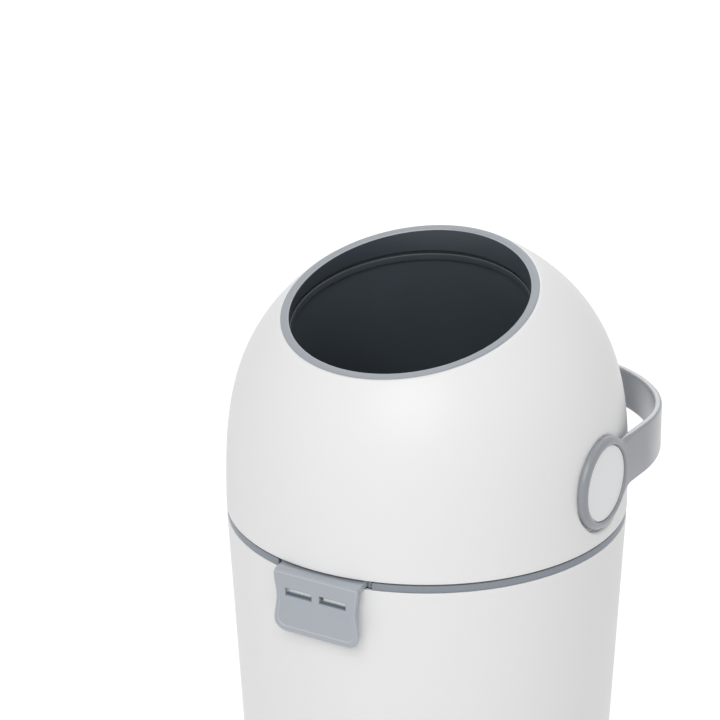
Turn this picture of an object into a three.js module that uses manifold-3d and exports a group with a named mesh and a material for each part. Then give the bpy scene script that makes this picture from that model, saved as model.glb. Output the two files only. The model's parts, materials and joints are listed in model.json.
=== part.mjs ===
// Nappy bin with a flip drum. A tapered body stands on four feet and holds the bag. A domed lid with a
// tilted mouth is hinged at the back and latched at the front. Inside the lid a drum turns half a turn
// with the strap handle, and a heavy piston slides through the drum's tube and drops the nappy.
// Millimetres, +Z up, +X to the right, -Y to the latch side, origin on the floor under the middle of its box.

import * as THREE from 'three';
import { mergeVertices } from 'three/addons/utils/BufferGeometryUtils.js';
import Module from 'manifold-3d';

const wasm = await Module();
wasm.setup();

// Clearances
const seatGap = 0.3;
const runGap = 1.2;
const cutOverrun = 4;

// Body
const seamRadius = 140;
const seamHeight = 305;
const bodyWall = 3;
const bodyFloor = 4;
const bodySetBack = 0.3;
const bodyDraft = 15;
const bodyCorner = 9;
const footStand = 3;
const footRadius = 11;
const footDepth = 2;
const footInset = 32.7;
const footChamfer = 1;

// Band ring that holds the bag on the body's rim
const bandHeight = 6.6;
const bandSetBack = 0.8;
const bandWall = 2.3;
const bandFlangeWidth = 10.4;
const bandFlangeThick = 2.4;
const bandSkirtDepth = 26;

// Dome of the lid
const domeWall = 2.6;
const domeRoundPower = 3.38;
const domeCrownPower = 0.673;
const domeLeanShare = 0.042;

// Mouth
const mouthForward = 23.6;
const throatDepth = 11.25;
const mouthFlare = 9.1;
const mouthTilt = 15.65;
const mouthFace = 5.2;
const mouthLip = 1.8;
const throatWall = 1.9;
const throatSealWidth = 3.2;
const throatSealThick = 2.6;

// Drum, its tube and the piston in it
const drumGap = 5;
const drumWall = 2.6;
const tubeInset = 48.4;
const tubeWall = 2.5;
const stopLip = 1.8;
const stopLength = 6.5;
const pistonGap = 0.9;
const pistonHeight = 44;
const pistonWall = 2.5;
const pistonSealHeight = 4;
const pistonSealDepth = 2.4;
const pistonSealGap = 0.4;
const weightRadius = 46;
const weightHeight = 12;

// Side pads, trunnions and handle
const padDepth = 4.2;
const padWall = 4;
const padLift = 6.2;
const padFlare = 3;
const ringRadius = 32.8;
const ringThick = 5.6;
const ringBevel = 2.4;
const ringRim = 6.2;
const capThick = 1.4;
const capInset = 1.2;
const capCollar = 1.2;
const bossRadius = 11.9;
const bushWall = 4.2;
const bushFlange = 1.3;
const bushFlangeWidth = 3.8;
const keyWidth = 15;
const keyLength = 11;
const postRadius = 17;
const trunnionFlange = 2.4;
const strapThick = 5.4;
const strapWidth = 35.5;
const strapOffset = 2.8;
const strapCorner = 107;
const strapEdge = 1.4;
const strapClear = 4.2;
const neckFlare = 5;
const neckLength = 20;

// Screws, one size for the handle and one for the hinge
const handleScrew = { headRadius: 5.2, headHeight: 3, shankRadius: 2, length: 30 };
const hingeScrew = { headRadius: 3.4, headHeight: 1.8, shankRadius: 1.5, length: 2.4 };
const washerThick = 1;
const washerRim = 1;
const counterboreRoom = 3;

// Lid frame and its seal
const frameLift = 0.9;
const frameThick = 3;
const frameWidth = 5;
const frameLipHeight = 8;
const frameLipThick = 2;
const sealWidth = 2.3;

// Rear hinge
const hingeSetBack = 6;
const hingeHalfWidth = 30;
const hingeMiddleHalf = 16;
const hingeKnuckle = 4.6;
const hingePinRadius = 2;
const hingeLeafThick = 3.4;
const hingeLeafHeight = 26;
const hingeScrewSpread = 18;

// Latch
const latchHalfWidth = 33;
const latchWaist = 2;
const latchStandOff = 6;
const latchThick = 3;
const latchFold = 3;
const latchDrop = 48;
const latchCorner = 9;
const latchSlotWidth = 20.8;
const latchSlotHeight = 5.5;
const latchSlotGap = 6;
const latchSlotDrop = 15;
const latchPinEdge = 1.33;
const latchPinDrop = 3.3;
const latchPinRadius = 1.25;
const latchBarrel = 2.7;
const latchLug = 2.4;
const latchSideGap = 3.2;
const toothHeight = 3.6;
const toothInset = 1.5;

// Facets round each kind of piece
const bodySteps = 52;
const drumSteps = 36;
const ringSteps = 32;
const mediumSteps = 20;
const smallSteps = 12;

// Places that follow from the sizes
const domeInner = seamRadius - domeWall;
const drumRadius = domeInner - drumGap;
const tubeRadius = drumRadius - tubeInset;
const tubeOuter = tubeRadius + tubeWall;
const stopInner = tubeRadius - stopLip;
const pivotRise = ringRadius + padWall + padLift;
const mouthReach = sphereHeight(drumRadius, stopInner) + throatDepth;
const mouthRise = pivotRise + Math.sqrt(mouthReach ** 2 - mouthForward ** 2);
const mouthTiltAngle = THREE.MathUtils.degToRad(mouthTilt);
const tubeTilt = Math.asin(mouthForward / mouthReach);
const mouthRadius = tubeRadius + mouthFlare;
const mouthHeightShare = (1 - (mouthRadius / seamRadius) ** (1 / domeCrownPower)) ** (1 / domeRoundPower);
const domeCrown = mouthRise / mouthHeightShare;
const padFace = seamRadius - padDepth;
const padInner = padFace - padWall;
const ringInnerFace = padFace + 1.5 * seatGap;
const ringOuterFace = ringInnerFace + ringThick;
const capRadius = ringRadius - ringRim;
const bushRadius = bossRadius + seatGap;
const bushOuter = bushRadius + bushWall;
const drumFlat = padInner - bushFlange - seatGap - runGap;
const bodyTop = seamHeight - bandHeight;
const bodyTopRadius = seamRadius - bodySetBack;
const bodyBottomRadius = bodyTopRadius - bodyDraft;
const bodyInnerTop = bodyTopRadius - bodyWall;
const footCircle = bodyBottomRadius - footInset;
const bandRadius = seamRadius - bandSetBack;
const bandInner = bandRadius - bandFlangeWidth;
const bandTop = -seatGap;
const notchHalfWidth = latchHalfWidth + latchSideGap;
const hingeY = seamRadius + hingeSetBack;
const frameOuter = domeInner - 1.5 * seatGap;
const latchLugEnd = latchHalfWidth + 2 * seatGap + latchLug;
const latchPinY = -(Math.sqrt(frameOuter ** 2 - latchLugEnd ** 2) - latchPinEdge);
const latchFrontY = -(seamRadius + latchStandOff);

/** A material of one piece. */
function finish(colour, roughness, metalness = 0) {
  return new THREE.MeshStandardMaterial({ color: colour, roughness, metalness });
}
const whiteShell = () => finish(0xf1f1f1, 0.32);
const greyTrim = () => finish(0x8f949b, 0.45);
const paleGrey = () => finish(0xa7adb4, 0.45);
const darkRubber = () => finish(0x3c4045, 0.85);
const steel = () => finish(0xb8bcc0, 0.3, 1);
const ironWeight = () => finish(0x55595e, 0.6, 1);

/** The signed volume inside an indexed geometry. */
function signedVolume(geometry) {
  const place = geometry.getAttribute('position');
  const index = geometry.getIndex();
  const corner = [0, 1, 2].map(() => new THREE.Vector3());
  let volume = 0;
  for (let at = 0; at < index.count; at += 3) {
    corner.forEach((point, step) => point.fromBufferAttribute(place, index.getX(at + step)));
    volume += corner[0].dot(corner[1].clone().cross(corner[2])) / 6;
  }
  return volume;
}

/** The geometry with shared vertices, no collapsed triangles, and its faces pointing out. */
function closed(geometry) {
  const bare = geometry.clone();
  bare.deleteAttribute('normal');
  bare.deleteAttribute('uv');
  const merged = mergeVertices(bare, 1e-4);
  const old = merged.getIndex().array;
  const index = [];
  for (let at = 0; at < old.length; at += 3) {
    const [a, b, c] = [old[at], old[at + 1], old[at + 2]];
    if (a !== b && b !== c && c !== a) index.push(a, b, c);
  }
  merged.setIndex(index);
  if (signedVolume(merged) < 0) {
    for (let at = 0; at < index.length; at += 3) {
      [index[at], index[at + 1]] = [index[at + 1], index[at]];
    }
    merged.setIndex(index);
  }
  return merged;
}

/** A solid for cutting and joining, from a closed geometry. */
function solid(geometry) {
  const shell = closed(geometry);
  return new wasm.Manifold(new wasm.Mesh({
    numProp: 3,
    vertProperties: new Float32Array(shell.getAttribute('position').array),
    triVerts: new Uint32Array(shell.getIndex().array),
  }));
}

/** The geometry of a solid. */
function fromSolid(shape) {
  const mesh = shape.getMesh();
  const geometry = new THREE.BufferGeometry();
  geometry.setAttribute('position', new THREE.BufferAttribute(new Float32Array(mesh.vertProperties), 3));
  geometry.setIndex([...mesh.triVerts]);
  return geometry;
}

/** Adds a named piece to a group. The shape is a geometry or a solid. */
function addPiece(group, name, shape, material) {
  const geometry = shape.isBufferGeometry ? closed(shape) : fromSolid(shape);
  geometry.computeVertexNormals();
  const piece = new THREE.Mesh(geometry, material);
  piece.name = name;
  group.add(piece);
  return piece;
}

/** A profile of [radius, height] points turned about the Z axis. */
function turned(profile, steps = bodySteps) {
  const points = profile.map(([radius, height]) => new THREE.Vector2(radius, height));
  return new THREE.LatheGeometry(points, steps).rotateX(Math.PI / 2);
}

/** A closed profile of [radius, height] points turned about the Z axis. */
function turnedRing(profile, steps = bodySteps) {
  return turned([...profile, profile[0]], steps);
}

/** The same shape turned about the X axis, with heights along +X. */
function alongX(geometry) {
  return geometry.rotateY(Math.PI / 2);
}

/** A plain round rod along X. */
function rodX(radius, fromX, toX, y = 0, z = 0, steps = smallSteps) {
  const rod = new THREE.CylinderGeometry(radius, radius, toX - fromX, steps);
  return rod.rotateZ(Math.PI / 2).translate((fromX + toX) / 2, y, z);
}

/** A block between two corners. */
function block(low, high) {
  const size = high.map((value, axis) => value - low[axis]);
  const middle = high.map((value, axis) => (value + low[axis]) / 2);
  return new THREE.BoxGeometry(...size).translate(...middle);
}

/** An outline in Y and Z, drawn out along X. */
function outlineAlongX(outline, fromX, toX) {
  const shape = new THREE.Shape(outline.map(([y, z]) => new THREE.Vector2(y, z)));
  const bar = new THREE.ExtrudeGeometry(shape, { depth: toX - fromX, bevelEnabled: false });
  const axes = new THREE.Matrix4().makeBasis(
    new THREE.Vector3(0, 1, 0),
    new THREE.Vector3(0, 0, 1),
    new THREE.Vector3(1, 0, 0),
  );
  return bar.applyMatrix4(axes).translate(fromX, 0, 0);
}

/** A closed surface through rings of points. The ends are capped, or the last ring joins the first. */
function loft(rings, capped = false) {
  const count = rings[0].length;
  const points = rings.flat();
  const index = [];
  const bands = capped ? rings.length - 1 : rings.length;
  for (let band = 0; band < bands; band += 1) {
    const here = band * count;
    const next = ((band + 1) % rings.length) * count;
    for (let step = 0; step < count; step += 1) {
      const after = (step + 1) % count;
      index.push(here + step, here + after, next + after);
      index.push(here + step, next + after, next + step);
    }
  }
  if (capped) {
    const ends = [[0, -1], [(rings.length - 1) * count, 1]];
    for (const [start, side] of ends) {
      const middle = points.length;
      const ring = points.slice(start, start + count);
      points.push(ring.reduce((sum, point) => sum.add(point), new THREE.Vector3()).divideScalar(count));
      for (let step = 0; step < count; step += 1) {
        const pair = [start + step, start + ((step + 1) % count)];
        if (side < 0) pair.reverse();
        index.push(...pair, middle);
      }
    }
  }
  const geometry = new THREE.BufferGeometry();
  geometry.setAttribute('position', new THREE.Float32BufferAttribute(points.flatMap((p) => p.toArray()), 3));
  geometry.setIndex(index);
  return geometry;
}

/** Even angles round a full turn. */
function roundAngles(steps = bodySteps) {
  return Array.from({ length: steps }, (_, step) => (2 * Math.PI * step) / steps);
}

// Dome surface, in the lid's frame: origin at the middle of the seam

/** Radius of the dome's outer surface at a height over the seam. */
function domeRadius(height) {
  const share = Math.min(Math.max(height / domeCrown, 0), 0.999);
  return seamRadius * (1 - share ** domeRoundPower) ** domeCrownPower;
}

/** How far the dome's middle line leans back at a height. */
function domeLean(height) {
  return (domeLeanShare * height * height) / seamRadius;
}

/** A point on the dome, moved in by an inset square to its outer surface. */
function domePoint(angle, height, inset = 0) {
  const small = domeCrown / 2000;
  const slope = (domeRadius(height + small) - domeRadius(Math.max(height - small, 0))) / (2 * small);
  const length = Math.hypot(1, slope);
  const radius = domeRadius(height) - inset / length;
  const z = height > 0 ? height + (inset * slope) / length : 0;
  return new THREE.Vector3(radius * Math.cos(angle), radius * Math.sin(angle) + domeLean(height), z);
}

/** Height of the mouth's plane over a point, lowered square to the plane. */
function mouthPlane(y, lowered = 0) {
  return mouthRise + (y + mouthForward) * Math.tan(mouthTiltAngle) - lowered / Math.cos(mouthTiltAngle);
}

/** The dome height at which its surface meets the mouth's plane. */
function mouthHeight(angle, inset = 0, lowered = 0) {
  let low = 0;
  let high = domeCrown * 0.995;
  for (let turn = 0; turn < 40; turn += 1) {
    const middle = (low + high) / 2;
    const point = domePoint(angle, middle, inset);
    if (point.z > mouthPlane(point.y, lowered)) high = middle;
    else low = middle;
  }
  return (low + high) / 2;
}

/** The dome's edge at the mouth. */
function mouthEdge(angle, inset = 0, lowered = 0) {
  return domePoint(angle, mouthHeight(angle, inset, lowered), inset);
}

const domeRiseShares = [0, 0.2, 0.36, 0.5, 0.62, 0.73, 0.82, 0.9, 0.96, 1];
const domeInsideShares = [1, 0.86, 0.66, 0.38, 0];

/** Rings over the dome from the seam to the mouth at one inset. */
function domeRings(shares, inset, lowered, drop = 0) {
  return shares.map((share) => roundAngles().map((angle) => {
    const point = domePoint(angle, share * mouthHeight(angle, inset, lowered), inset);
    return share === 0 ? point.setZ(-drop) : point;
  }));
}

/** A point given in the tube's own frame, moved to the lid's frame. */
function fromTube(point) {
  return point.applyAxisAngle(new THREE.Vector3(1, 0, 0), tubeTilt).add(new THREE.Vector3(0, 0, pivotRise));
}

/** Height over the pivot at which a radius from the tube's axis meets a sphere round the pivot. */
function sphereHeight(sphereRadius, radius) {
  return Math.sqrt(Math.max(sphereRadius ** 2 - radius ** 2, seatGap ** 2));
}

/** Largest distance of the dome from the pivot's axis, which the flipping handle has to pass. */
function domeReach() {
  const back = Math.PI / 2;
  const distances = domeRiseShares.map((share) => {
    const point = domePoint(back, share * mouthHeight(back));
    return Math.hypot(point.y, point.z - pivotRise);
  });
  return Math.max(...distances);
}

const strapReach = domeReach() + strapClear + strapThick;

/** The body with its floor, foot pockets and the two teeth that the latch catches. */
function bodyShell() {
  const floor = footStand;
  const inner = floor + bodyFloor;
  const corner = (radius, low, size, up) => [0, 1, 2, 3].map((step) => {
    const angle = (up ? step : 3 - step) * (Math.PI / 6);
    return [radius - size + size * Math.sin(angle), low + size - size * Math.cos(angle)];
  });
  const bottomInner = bodyBottomRadius - bodyWall;
  const shell = solid(turned([
    [0, floor],
    ...corner(bodyBottomRadius, floor, bodyCorner, true),
    [bodyTopRadius, bodyTop],
    [bodyInnerTop, bodyTop],
    ...corner(bottomInner, inner, bodyCorner - bodyFloor / 2, false),
    [0, inner],
  ]));
  const pocketTop = floor + footDepth;
  const pockets = footPlaces().map(([x, y]) => {
    const radius = footRadius + seatGap;
    const hole = new THREE.CylinderGeometry(radius, radius, pocketTop, mediumSteps).rotateX(Math.PI / 2);
    return solid(hole.translate(x, y, pocketTop / 2));
  });
  const toothTop = seamHeight - latchSlotDrop - seatGap;
  const toothTip = latchFrontY + latchThick + seatGap;
  const toothRoot = -(bodyTopRadius - bodyWall / 2);
  const from = latchSlotGap / 2 + toothInset;
  const to = latchSlotGap / 2 + latchSlotWidth - toothInset;
  const outline = [
    [toothRoot + cutOverrun, toothTop],
    [toothTip, toothTop],
    [toothTip, toothTop - toothHeight / 3],
    [toothRoot, toothTop - toothHeight * 2],
    [toothRoot + cutOverrun, toothTop - toothHeight * 2],
  ];
  const hollow = solid(turned([
    [0, inner + bodyCorner],
    [bodyBottomRadius - bodyWall + bodyDraft * ((inner + bodyCorner) / bodyTop), inner + bodyCorner],
    [bodyInnerTop, bodyTop],
    [bodyInnerTop, bodyTop + cutOverrun],
    [0, bodyTop + cutOverrun],
  ]));
  const teeth = [-to, from].map((start) => solid(outlineAlongX(outline, start, start + to - from)).subtract(hollow));
  return [...pockets].reduce((body, pocket) => body.subtract(pocket), shell.add(teeth[0]).add(teeth[1]));
}

/** The four places of the feet. */
function footPlaces() {
  return [45, 135, 225, 315].map((turn) => {
    const angle = THREE.MathUtils.degToRad(turn);
    return [footCircle * Math.cos(angle), footCircle * Math.sin(angle)];
  });
}

/** A rubber foot, standing on the floor. */
function foot() {
  const top = footStand + footDepth - seatGap;
  return turned([
    [0, 0],
    [footRadius - footChamfer, 0],
    [footRadius, footChamfer],
    [footRadius, top],
    [0, top],
  ], mediumSteps);
}

/** The band ring, in the lid's frame, with its notch for the latch. */
function bandRing() {
  const bottom = -bandHeight + seatGap;
  const ring = solid(turnedRing([
    [bandRadius, bottom],
    [bandRadius, bandTop],
    [bandInner, bandTop],
    [bandInner, -bandSkirtDepth],
    [bandInner + bandWall, -bandSkirtDepth],
    [bandInner + bandWall, bandTop - bandFlangeThick],
    [bandRadius - bandWall, bandTop - bandFlangeThick],
    [bandRadius - bandWall, bottom],
  ]));
  const notch = solid(block(
    [-notchHalfWidth, -seamRadius - cutOverrun, -bandHeight],
    [notchHalfWidth, -seamRadius + bandFlangeWidth + cutOverrun * 3, cutOverrun],
  ));
  return ring.subtract(notch);
}

/** Room for the dome's two side bosses, for what lies beside them. */
function besideBosses(shape) {
  const radius = ringRadius + padWall + seatGap;
  return shape.subtract(solid(rodX(radius, -seamRadius, seamRadius, 0, pivotRise, ringSteps)));
}

/** The dome, with a flat sunk pad, a boss and a bearing hole on each side. */
function domeShell() {
  const lowered = mouthLip + seatGap;
  const outer = domeRings(domeRiseShares, 0, lowered);
  const inner = domeRings(domeInsideShares, domeWall, lowered);
  const shell = solid(loft([...outer, ...inner]));
  const whole = solid(loft(outer, true));
  const sides = [-1, 1].map((side) => {
    const turn = side < 0 ? Math.PI : 0;
    const place = (geometry) => solid(geometry.rotateZ(turn).translate(0, 0, pivotRise));
    const reach = seamRadius + cutOverrun;
    return {
      boss: place(rodX(ringRadius + padWall, padInner, reach, 0, 0, ringSteps)),
      sink: place(alongX(turned([
        [0, padFace],
        [ringRadius + runGap, padFace],
        [ringRadius + runGap + padFlare, seamRadius],
        [ringRadius + runGap + padFlare, reach],
        [0, reach],
      ], ringSteps))),
      bore: place(rodX(bushOuter + seatGap, padInner - cutOverrun, reach, 0, 0, mediumSteps)),
    };
  });
  return sides.reduce((dome, { boss, sink, bore }) => (
    dome.add(boss.intersect(whole)).subtract(sink).subtract(bore)
  ), shell);
}

/** The rim and throat at an angle round the mouth: the rim's points, and a finder of points over the drum. */
function mouthSection(angle) {
  const centre = new THREE.Vector3(0, -mouthForward, mouthRise);
  const faceOuter = mouthEdge(angle, seatGap / 2);
  const inward = centre.clone().sub(faceOuter).normalize();
  const faceInner = faceOuter.clone().addScaledVector(inward, mouthFace);
  const below = mouthEdge(angle, domeWall, mouthLip + seatGap).addScaledVector(inward, seatGap);
  const local = faceInner.clone().sub(new THREE.Vector3(0, 0, pivotRise));
  local.applyAxisAngle(new THREE.Vector3(1, 0, 0), -tubeTilt);
  const around = Math.atan2(local.y, local.x);
  const overDrum = (radius, gap) => fromTube(new THREE.Vector3(
    radius * Math.cos(around),
    radius * Math.sin(around),
    sphereHeight(drumRadius + gap, radius),
  ));
  return { faceOuter, faceInner, inward, below, overDrum };
}

/** The grey rim of the mouth and the throat that leads down to the drum. */
function mouthRim() {
  const rings = roundAngles().map((angle) => {
    const { faceOuter, faceInner, inward, below, overDrum } = mouthSection(angle);
    const lipOuter = mouthEdge(angle, seatGap / 2, mouthLip);
    const shoulder = mouthEdge(angle, domeWall, mouthLip).addScaledVector(inward, seatGap);
    const footInner = overDrum(stopInner, runGap);
    const footOuter = overDrum(stopInner + throatWall, runGap);
    return [faceOuter, faceInner, footInner, footOuter, below, shoulder, lipOuter];
  });
  return loft(rings[0].map((_, row) => rings.map((ring) => ring[row])));
}

/** The rubber ring round the throat's foot, which wipes the drum. */
function throatSeal() {
  const rings = roundAngles().map((angle) => {
    const { inward, below, overDrum } = mouthSection(angle);
    const wall = stopInner + throatWall;
    const along = below.clone().sub(overDrum(wall, runGap)).normalize();
    const innerFoot = overDrum(wall + 2 * seatGap, seatGap);
    const innerTop = innerFoot.clone().addScaledVector(along, throatSealThick);
    const outerTop = innerTop.clone().addScaledVector(inward, -throatSealWidth);
    return [innerFoot, overDrum(wall + throatSealWidth, seatGap), outerTop, innerTop];
  });
  return loft(rings[0].map((_, row) => rings.map((ring) => ring[row])));
}

/** The ring inside the dome's foot, with the two lugs that hold the latch's pin. */
function lidFrame() {
  const inner = frameOuter - frameWidth;
  const top = frameLift + frameThick;
  const ring = solid(turnedRing([
    [inner, frameLift],
    [frameOuter, frameLift],
    [frameOuter, top + frameLipHeight],
    [frameOuter - frameLipThick, top + frameLipHeight],
    [frameOuter - frameLipThick, top],
    [inner, top],
  ]));
  const inside = solid(turned([
    [0, -bandHeight],
    [frameOuter, -bandHeight],
    [frameOuter, top + frameLipHeight],
    [0, top + frameLipHeight],
  ]));
  const centre = latchPinY;
  const bottom = -bandHeight + 2 * seatGap;
  const lugs = [-latchLugEnd, latchLugEnd - latchLug].map((start) => solid(block(
    [start, centre - latchBarrel, bottom],
    [start + latchLug, centre + latchBarrel + seatGap, frameLift + frameThick / 2],
  )).intersect(inside));
  const hole = solid(rodX(
    latchPinRadius + seatGap / 2,
    -notchHalfWidth - cutOverrun,
    notchHalfWidth + cutOverrun,
    centre,
    -latchPinDrop,
  ));
  return besideBosses(ring.add(lugs[0]).add(lugs[1]).subtract(hole));
}

/** The rubber ring on the frame's inner edge, which closes on the band ring. */
function lidSeal() {
  const outer = frameOuter - frameWidth - seatGap;
  const top = frameLift + frameThick;
  const foot = bandTop + seatGap;
  return besideBosses(solid(turnedRing([
    [outer - sealWidth, foot],
    [outer, foot],
    [outer, top],
    [outer - sealWidth, top],
  ])));
}

/** A curved leaf round the bin's back, between two heights over the seam. */
function backLeaf(low, high) {
  const inner = seamRadius - bodyDraft / 3;
  const outer = seamRadius + hingeLeafThick;
  const ring = solid(turnedRing([
    [inner, low],
    [outer, low],
    [outer, high],
    [inner, high],
  ]));
  const front = [-hingeHalfWidth, 0, low - cutOverrun];
  const back = [hingeHalfWidth, seamRadius + hingeLeafThick + cutOverrun, high + cutOverrun];
  return ring.intersect(solid(block(front, back)));
}

/** A cutter along X round the hinge's axis. */
function hingeCutter(fromX, toX) {
  return solid(rodX(hingeKnuckle + seatGap, fromX, toX, hingeY, 0, mediumSteps));
}

/** A knuckle of the hinge with the web that ties it to its leaf. */
function hingeKnuckles(spans, webLow, webHigh) {
  return spans.map(([from, to]) => {
    const round = solid(rodX(hingeKnuckle, from, to, hingeY, 0, mediumSteps));
    const web = solid(block([from, seamRadius + seatGap, webLow], [to, hingeY, webHigh]));
    return round.add(web);
  });
}

/** The hinge's half on the body. */
function hingeBracket() {
  const top = -bandHeight - seatGap;
  const sides = [
    [-hingeHalfWidth, -hingeMiddleHalf - seatGap],
    [hingeMiddleHalf + seatGap, hingeHalfWidth],
  ];
  const leaf = backLeaf(top - hingeLeafHeight, top);
  const middle = hingeCutter(-hingeMiddleHalf - seatGap, hingeMiddleHalf + seatGap);
  const knuckles = hingeKnuckles(sides, top - hingeKnuckle, 0);
  const gap = seatGap;
  const bodyRoom = solid(turned([
    [0, -seamHeight],
    [bodyBottomRadius + gap, -seamHeight],
    [bodyTopRadius + gap, -bandHeight],
    [bodyTopRadius + gap, cutOverrun],
    [0, cutOverrun],
  ]));
  const pin = solid(rodX(hingePinRadius + seatGap / 2, -seamRadius, seamRadius, hingeY, 0));
  return leaf.subtract(middle).add(knuckles[0]).add(knuckles[1]).subtract(bodyRoom).subtract(pin)
    .subtract(hingeScrewHoles(top - hingeLeafHeight / 2));
}

/** The hinge's half on the lid. */
function hingeLeaf() {
  const bottom = 3 * seatGap;
  const leaf = backLeaf(bottom, bottom + hingeLeafHeight);
  const reach = hingeHalfWidth + cutOverrun;
  const left = hingeCutter(-reach, -hingeMiddleHalf);
  const right = hingeCutter(hingeMiddleHalf, reach);
  const knuckle = hingeKnuckles([[-hingeMiddleHalf, hingeMiddleHalf]], bottom, hingeKnuckle);
  const domeRoom = solid(loft(domeRings(domeRiseShares, -seatGap, 0, cutOverrun), true));
  const pin = solid(rodX(hingePinRadius + seatGap / 2, -seamRadius, seamRadius, hingeY, 0));
  return leaf.subtract(left).subtract(right).add(knuckle[0]).subtract(domeRoom).subtract(pin)
    .subtract(hingeScrewHoles(bottom + hingeLeafHeight / 2 + hingeKnuckle / 2));
}

/** Holes for the two screws of a hinge leaf, at a height over the seam. */
function hingeScrewHoles(height) {
  const holes = [-1, 1].map((side) => {
    const radius = hingeScrew.shankRadius + seatGap;
    const hole = new THREE.CylinderGeometry(radius, radius, 4 * bandFlangeWidth, smallSteps);
    return solid(hole.translate(side * hingeScrewSpread, seamRadius, height));
  });
  return holes[0].add(holes[1]);
}

/** A pan head screw along +Z, with the under side of its head at zero. */
function screw({ headRadius, headHeight, shankRadius, length }) {
  return turned([
    [0, -length],
    [shankRadius, -length],
    [shankRadius, 0],
    [headRadius, 0],
    [headRadius, headHeight / 2],
    [headRadius * 0.8, headHeight * 0.85],
    [headRadius * 0.4, headHeight],
    [0, headHeight],
  ], smallSteps);
}

/** The hinge's pin with a head at each end. */
function hingePin() {
  const half = hingeHalfWidth + seatGap;
  const head = hingePinRadius;
  return alongX(turned([
    [0, -half - head],
    [hingePinRadius * 1.6, -half - head],
    [hingePinRadius * 1.6, -half],
    [hingePinRadius, -half],
    [hingePinRadius, half],
    [hingePinRadius * 1.6, half],
    [hingePinRadius * 1.6, half + head],
    [0, half + head],
  ], smallSteps));
}

/** Outline of the latch's plate in X and Z, from the top left corner down and round to the top right. */
function latchOutline() {
  const top = -latchPinDrop + seatGap;
  const bottom = -latchDrop;
  const sideSteps = 8;
  const side = Array.from({ length: sideSteps + 1 }, (_, step) => {
    const share = step / sideSteps;
    const z = top + (bottom + latchCorner - top) * share;
    return [latchHalfWidth - latchWaist * Math.sin(Math.PI * share) ** 2, z];
  });
  const corner = [1, 2, 3, 4].map((step) => {
    const angle = (step * Math.PI) / 8;
    return [
      latchHalfWidth - latchCorner + latchCorner * Math.cos(angle),
      bottom + latchCorner - latchCorner * Math.sin(angle),
    ];
  });
  const left = [...side, ...corner].map(([x, z]) => [-x, z]);
  return [...left, ...left.map(([x, z]) => [-x, z]).reverse()];
}

/** The latch: a barrel on its pin, a neck under the dome's edge and a plate with two slots. */
function latchClip() {
  const shape = new THREE.Shape(latchOutline().map(([x, z]) => new THREE.Vector2(x, z)));
  const axes = new THREE.Matrix4().makeBasis(
    new THREE.Vector3(1, 0, 0),
    new THREE.Vector3(0, 0, 1),
    new THREE.Vector3(0, -1, 0),
  );
  const plate = new THREE.ExtrudeGeometry(shape, { depth: latchThick, bevelEnabled: false });
  plate.applyMatrix4(axes).translate(0, latchFrontY + latchThick, 0);
  const neckTop = -latchPinDrop + latchBarrel / 2;
  const neckBottom = -bandHeight + 2 * seatGap;
  const outerTop = neckTop - latchFold / 2;
  const neck = outlineAlongX([
    [latchPinY, neckBottom],
    [latchPinY, neckTop],
    [-seamRadius, neckTop],
    [latchFrontY + latchFold, outerTop],
    [latchFrontY + latchFold * 0.3, outerTop - latchFold * 0.4],
    [latchFrontY, outerTop - latchFold],
    [latchFrontY, -latchPinDrop - latchSlotDrop / 2],
    [latchFrontY + latchThick, -latchPinDrop - latchSlotDrop / 2],
    [latchFrontY + latchThick, neckBottom - seatGap],
    [latchFrontY + latchThick + seatGap, neckBottom],
  ], -latchHalfWidth, latchHalfWidth);
  const barrel = rodX(latchBarrel, -latchHalfWidth, latchHalfWidth, latchPinY, -latchPinDrop, mediumSteps);
  const bore = rodX(
    latchPinRadius + seatGap / 2,
    -seamRadius,
    seamRadius,
    latchPinY,
    -latchPinDrop,
  );
  const slots = [-latchSlotGap / 2 - latchSlotWidth, latchSlotGap / 2].map((from) => solid(block(
    [from, latchFrontY - cutOverrun, -latchSlotDrop - latchSlotHeight],
    [from + latchSlotWidth, latchFrontY + latchThick + cutOverrun, -latchSlotDrop],
  )));
  return solid(neck).add(solid(barrel)).add(solid(plate)).subtract(solid(bore))
    .subtract(slots[0]).subtract(slots[1]);
}

/** The drum's tube. */
function drumTube() {
  const end = sphereHeight(drumRadius, stopInner) - stopLength - seatGap;
  return turnedRing([
    [tubeRadius, -end],
    [tubeOuter, -end],
    [tubeOuter, end],
    [tubeRadius, end],
  ], drumSteps);
}

/** The lip ring at an end of the tube, which stops the piston. */
function tubeStop() {
  const top = sphereHeight(drumRadius, stopInner);
  return turnedRing([
    [stopInner, top - stopLength],
    [tubeOuter, top - stopLength],
    [tubeOuter, sphereHeight(drumRadius, tubeOuter)],
    [stopInner, top],
  ], drumSteps);
}

/** Half of the drum's round wall: the side that looks forward, or back. */
function drumCheek(side) {
  const ball = (radius) => solid(new THREE.SphereGeometry(radius, 28, 14).rotateZ(Math.PI / 2));
  const hole = solid(turned([
    [0, -seamRadius],
    [tubeOuter + seatGap, -seamRadius],
    [tubeOuter + seatGap, seamRadius],
    [0, seamRadius],
  ]));
  const near = side * (seatGap / 2);
  const far = side * seamRadius;
  const width = drumFlat - trunnionFlange - seatGap;
  const half = solid(block(
    [-width, Math.min(near, far), -seamRadius],
    [width, Math.max(near, far), seamRadius],
  ));
  return ball(drumRadius).subtract(ball(drumRadius - drumWall)).intersect(half).subtract(hole);
}

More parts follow.
